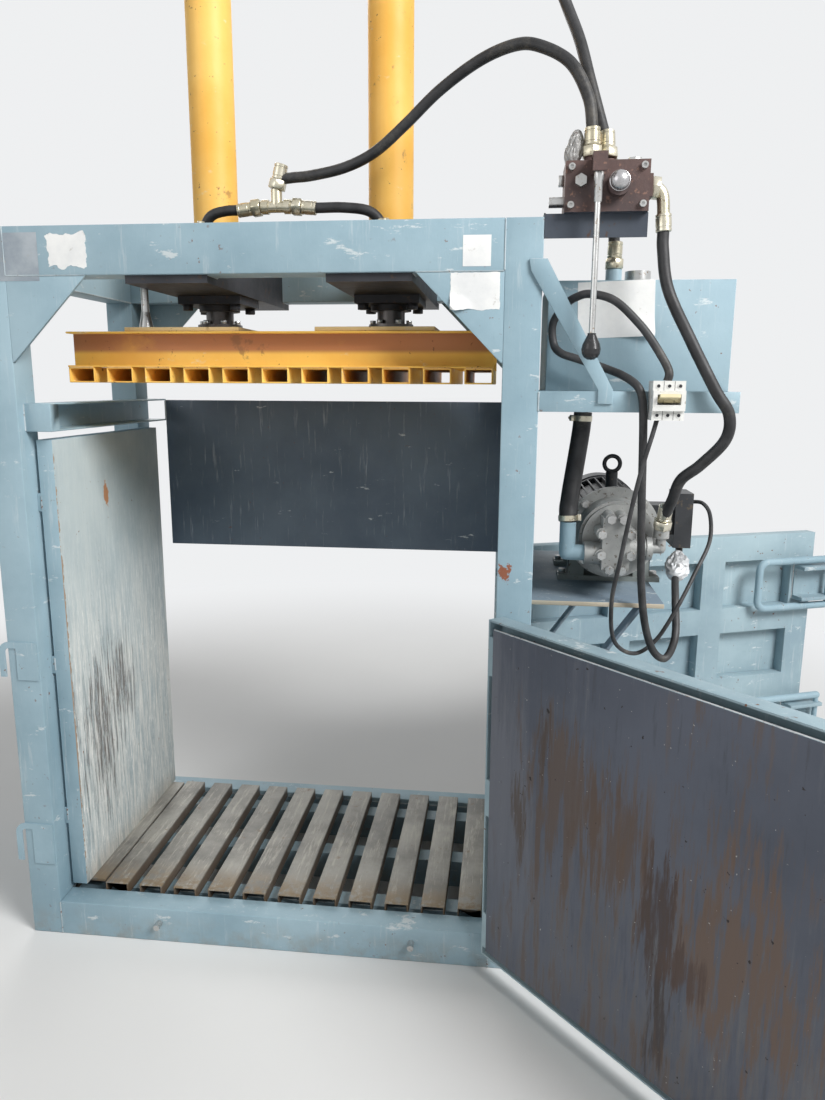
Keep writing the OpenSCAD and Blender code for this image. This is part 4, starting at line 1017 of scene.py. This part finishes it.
# %% [markdown]
# ## Bolts, screws and plugs
# Bolt heads have six flats, and a cap screw has a round head with a socket.
# A washer is a thin turned ring with its edge broken. Most heads stand
# evenly round a circle.

# %% Put heads on the bolts
def hex_bolt(across_mm, height_mm, washer_mm=None):
    parts = [hex_prism(across_mm, height_mm, 2 if washer_mm else 0)]
    if washer_mm:
        r = washer_mm / 2
        parts.append(turned([(1, 0), (r - 0.4, 0), (r, 0.5), (r, 1.7), (r - 0.4, 2.1), (1, 2.1)], 28))
    return joined(parts)


def cap_screw(width_mm, height_mm):
    r = width_mm / 2
    return turned([(0, height_mm * 0.35), (r * 0.5, height_mm * 0.35), (r * 0.5, height_mm),
                   (r * 0.88, height_mm), (r, height_mm * 0.88), (r, 0), (0, 0)], 24)


def round_circle(count, first=0.0):
    """The cosine and sine of angles spread evenly round a circle."""
    return [(cos(first + 2 * pi * k / count), sin(first + 2 * pi * k / count)) for k in range(count)]


GLAND_CIRCLE_MM, GLAND_FACE_MM = 100, 1838
COLLAR_CIRCLE_MM, COLLAR_FACE_MM = 53, 1784
gland_bolts, collar_bolts = [], []
for x in CYLINDERS_MM:
    for c, s in round_circle(4, pi / 4):
        at = mm(x + GLAND_CIRCLE_MM * c, GLAND_CIRCLE_MM * s, GLAND_FACE_MM)
        gland_bolts.append(placed(hex_bolt(27, 15, 34), at, (0, 0, -1)))
    for c, s in round_circle(6):
        at = mm(x + COLLAR_CIRCLE_MM * c, COLLAR_CIRCLE_MM * s, COLLAR_FACE_MM)
        collar_bolts.append(placed(hex_bolt(16, 10, 19), at))
add_piece("gland_bolt_heads", joined(gland_bolts), "frame", steel_dark_and_painted_shade)
add_piece("collar_bolt_heads", joined(collar_bolts), "platen", bright_steel)

PUMP_MM, PUMP_OVAL_MM = (936, -330, 1210), (40, 72)
pump_screws = []
for c, s in round_circle(8, pi / 8):
    at = mm(PUMP_MM[0] + PUMP_OVAL_MM[0] * c, PUMP_MM[1] - 0.5, PUMP_MM[2] + PUMP_OVAL_MM[1] * s)
    pump_screws.append(placed(hex_bolt(22, 13), at, TO_FRONT))
add_piece("pump_cover_screws", joined(pump_screws), "frame", bright_steel)

SHAFT_MM, FLANGE_CIRCLE_MM, FLANGE_FACE_MM, FEET_TOP_MM = (950, 1210), 112, -146, 1072
motor_bolts = []
for c, s in round_circle(4, pi / 4):
    at = mm(SHAFT_MM[0] + FLANGE_CIRCLE_MM * c, FLANGE_FACE_MM, SHAFT_MM[1] + FLANGE_CIRCLE_MM * s)
    motor_bolts.append(placed(hex_bolt(19, 10, 24), at, TO_FRONT))
for x in (-131, 131):
    for y in (-55, 135):
        motor_bolts.append(placed(hex_bolt(19, 10, 26), mm(SHAFT_MM[0] + x, y, FEET_TOP_MM)))
add_piece("motor_bolt_heads", joined(motor_bolts), "frame", bright_steel)

VALVE_MM = {"left": 765, "right": 955, "front": -425, "foot": 2006, "top": 2116}
SCREWS_IN_MM = 14
PLUGS = (
    (26, 12, (800, -424.6, 2072), TO_FRONT),
    (30, 14, (925, -375, 2115.7), (0, 0, 1)),
    (24, 12, (765.3, -352, 2088), (-1, 0, 0)),
)
valve_screws = []
for x in (VALVE_MM["left"] + SCREWS_IN_MM, VALVE_MM["right"] - SCREWS_IN_MM):
    for z in (VALVE_MM["foot"] + SCREWS_IN_MM, VALVE_MM["top"] - SCREWS_IN_MM):
        valve_screws.append(placed(cap_screw(16, 9), mm(x, VALVE_MM["front"] + 0.3, z), TO_FRONT))
for across, height, at, facing in PLUGS:
    valve_screws.append(placed(hex_bolt(across, height), mm(*at), facing))
add_piece("valve_screws_and_plugs", joined(valve_screws), "frame", bright_steel)

# %% [markdown]
# ## The bright dome on the valve
# One port of the valve is closed by a polished dome nut, the brightest spot
# on the machine. It is a turning: a short collar, then a round crown.

# %% Turn the dome
dome = turned([(0, 24), (6, 23.4), (12, 21), (16.5, 17.2), (20, 12), (21.6, 6), (21.8, 2.5), (23, 2),
               (23.2, 0), (23.2, -22), (0, -22)], 40)
add_piece("valve_dome", placed(dome, mm(885, -449, 2066), TO_FRONT), "frame", dome_steel)

# %% [markdown]
# ## Papers, stickers and the bare plate
# Sheets of paper and a thin plate are stuck on the front. All of them stay
# blank. A sheet starts as a grid, its free corner is lifted with a few
# vertex moves, and solidify gives it a thickness.

# %% Stick on the blank sheets
ACROSS, UP = 44, 40
LIFTED_M = 0.018
SHEET_THICKNESS_M = 0.0005


def sheet_piece(name, left, right, low, high, y_mm, material, lift=None, torn=0.0, tilt=0.0):
    wide, tall = mm(right - left, high - low)
    bm = bmesh.new()
    bmesh.ops.create_grid(bm, x_segments=ACROSS, y_segments=UP, size=0.5)
    bm.transform(Matrix.Rotation(pi / 2, 4, "X"))
    bmesh.ops.scale(bm, verts=bm.verts, vec=(wide, 1, tall))
    for v in bm.verts:
        u = v.co.x / wide + 0.5
        w = v.co.z / tall + 0.5
        if lift:
            reach = max(0.0, 1 - Vector((u - lift[0], w - lift[1])).length / lift[2])
            v.co.y -= LIFTED_M * reach ** 2
        rim = max(abs(2 * u - 1), abs(2 * w - 1)) ** 3
        ragged = noise.noise(Vector((4 * u, 4 * w, left))) + 0.3 * noise.noise(Vector((13 * u, 13 * w, 2)))
        v.co += Vector((u - 0.5, 0, w - 0.5)) * 2 * torn * rim * (ragged - 0.3)
    middle = mm((left + right) / 2, y_mm - 0.3, (low + high) / 2)
    bm.transform(Matrix.Translation(middle) @ Matrix.Rotation(tilt, 4, "Y"))
    bmesh.ops.solidify(bm, geom=bm.faces, thickness=SHEET_THICKNESS_M)
    bmesh.ops.recalc_face_normals(bm, faces=bm.faces)
    return add_piece(name, bm, "frame", material)


sheet_piece("blank_plate", -690, -540, 1867, 1984, -405.3, grey_plate)
sheet_piece("torn_sticker", -516, -409, 1897, 1982, -405.2, white_paper, torn=0.010)
sheet_piece("square_sticker", 532, 599, 1891, 1962, -405.2, white_paper)
sheet_piece("peeling_paper", 502, 623, 1790, 1878, -405.2, white_paper, lift=(0.06, 0.05, 0.45), torn=0.004)
sheet_piece(
    "tank_sheet", 816, 1004, 1732, 1868, -290.4, white_paper, lift=(0.95, 0.04, 0.5), tilt=radians(-2),
)

# %% [markdown]
# ## The taped cable joint
# Just under the terminal box the thick cable was joined and wrapped in
# silver tape. The wrap is a lumpy barrel: a ball is stretched along the
# cable, folded with noise, and smoothed. An elbow on the valve's left end
# is wrapped in grey film in the same way.

# %% Wrap the joint
supply_line = smooth_line(ROUTES["cable_supply"])
JOINT_AT = 265


def lumpy_wrap(wide_mm, deep_mm, long_mm, seed):
    wrap = bmesh.new()
    bmesh.ops.create_icosphere(wrap, subdivisions=5, radius=1)
    for v in wrap.verts:
        folds = abs(noise.noise(Vector((v.co.x * 3.1, v.co.y * 3.1, v.co.z * 1.7 + seed))))
        creases = abs(noise.noise(Vector((v.co.x * 5.5 + seed, v.co.y * 5.5, v.co.z * 4.2))))
        lump = 1 + 0.26 * noise.noise(v.co * 1.6 + Vector((seed, 0, 0))) - 0.3 * folds - 0.22 * creases
        v.co = Vector((v.co.x * wide_mm * lump, v.co.y * deep_mm * lump, v.co.z * long_mm)) * MM / 2
    bmesh.ops.smooth_vert(
        wrap, verts=wrap.verts, factor=0.3, use_axis_x=True, use_axis_y=True, use_axis_z=True,
    )
    return wrap


wrap = lumpy_wrap(76, 68, 124, 3)
placed(wrap, supply_line[JOINT_AT], supply_line[JOINT_AT + 4] - supply_line[JOINT_AT - 6])
add_piece("taped_cable_joint", wrap, "frame", tape_silver)

film = placed(lumpy_wrap(44, 42, 92, 8), mm(787, -362, 2154), (0.16, 0.1, 1))
add_piece("wrapped_valve_elbow", film, "frame", grey_film)

# %% [markdown]
# ## The breaker's face
# A three-pole breaker has one raised face with a lever for each pole, lines
# between the poles, and a screw at each end of each pole. Its levers are
# tied together by a bar, which is the construction's own toggle.

# %% Detail the breaker
CASE_LEFT, CASE_FRONT, CASE_FOOT, CASE_WIDE, CASE_HIGH = 982, -467, 1534, 74, 91
WELLS_IN_MM = 12
wells, screws_and_seams = [], []
for pole in range(3):
    middle = CASE_LEFT + CASE_WIDE * (pole + 0.5) / 3
    for z in (CASE_FOOT + WELLS_IN_MM, CASE_FOOT + CASE_HIGH - WELLS_IN_MM):
        ring = turned([(4.2, -0.5), (5.6, -0.5), (5.8, 1.2), (4.2, 1.4)], 20)
        wells.append(placed(ring, mm(middle, CASE_FRONT, z), TO_FRONT))
        screws_and_seams.append(placed(cap_screw(7.6, 1.2), mm(middle, CASE_FRONT + 0.4, z), TO_FRONT))
    if pole:
        at = mm(CASE_LEFT + CASE_WIDE * pole / 3, CASE_FRONT - 0.1, CASE_FOOT + CASE_HIGH / 2)
        screws_and_seams.append(placed(small_box((0.9, 1, CASE_HIGH * 0.98), 0.2), at))
add_piece("breaker_screw_wells", joined(wells), "frame", white_case)
add_piece("breaker_screws_and_seams", joined(screws_and_seams), "frame", steel_dark_and_painted_shade)

# %% [markdown]
# ## Floor, light and background
# The machine stands on a plain pale floor. A large soft lamp from the upper
# right gives the same side of every tube its light as in the picture, and
# two weaker ones open the shadows. The world is pale only for the camera
# and for reflections, and the floor fades into it with distance, so there
# is no horizon behind the machine.

# %% Set the stage
BACKDROP = (0.86, 0.87, 0.88, 1)
FLOOR_SIZE_M, FLOOR_Z_M = 30, -0.0005
FADES_FROM_M, FADES_TO_M = 1.9, 4.2
SKY_ON_MACHINE, SKY_TO_CAMERA = 0.30, 1.0


def lamp(name, at, target, size, watts):
    data = bpy.data.lights.new(name, "AREA")
    data.size = size
    data.energy = watts
    linked(name, data).matrix_world = Matrix.Translation(Vector(at)) @ aim(Vector(at) - Vector(target))
    print("lit", name)


lamp("key_lamp", (4.6, -3.4, 5.2), (0.2, 0, 1.0), 2.6, 540)
lamp("fill_lamp", (-4.5, -4.5, 3.2), (0, 0, 1.0), 4.0, 90)
lamp("back_lamp", (-2.0, 5.0, 4.6), (0, 0, 1.2), 3.0, 110)

floor_mesh = bmesh.new()
bmesh.ops.create_grid(floor_mesh, x_segments=1, y_segments=1, size=FLOOR_SIZE_M)
bmesh.ops.translate(floor_mesh, verts=floor_mesh.verts, vec=(0, 0, FLOOR_Z_M))
floor_data = bpy.data.meshes.new("pale_floor")
floor_mesh.to_mesh(floor_data)
floor_mesh.free()
floor = linked("pale_floor", floor_data)
pale = Finish("pale_floor", roughness=0.9, specular=0.1)
pale.colour = pale.mixed(pale.noise(3), (0.70, 0.70, 0.69), (0.73, 0.73, 0.72))
floor_data.materials.append(pale.done())
far_away = pale.fade(pale.vector("LENGTH", pale.place)["Value"], FADES_FROM_M, FADES_TO_M)
ray = pale.node("LightPath").outputs
seen_far = pale.both(far_away, pale.added(ray["Is Camera Ray"], ray["Is Glossy Ray"]))
glow = pale.node("Emission", {"Color": BACKDROP}).outputs["Emission"]
blend = pale.node("MixShader", {0: seen_far, 1: pale.shader.outputs["BSDF"], 2: glow})
feed(pale.tree, pale.tree.nodes["Material Output"].inputs["Surface"], blend.outputs["Shader"])

world = bpy.data.worlds.new("studio")
bpy.context.scene.world = world
world.use_nodes = True
sky = world.node_tree
backdrop = sky.nodes["Background"].inputs
ray = add_node(sky, "LightPath").outputs
seen = add_node(sky, "Math", {0: ray["Is Camera Ray"], 1: ray["Is Glossy Ray"]}, operation="MAXIMUM")
to_range = {"Value": seen.outputs["Value"], "To Min": SKY_ON_MACHINE, "To Max": SKY_TO_CAMERA}
feed(sky, backdrop["Color"], BACKDROP)
feed(sky, backdrop["Strength"], add_node(sky, "MapRange", to_range).outputs["Result"])
bpy.context.scene.view_settings.view_transform = "Standard"
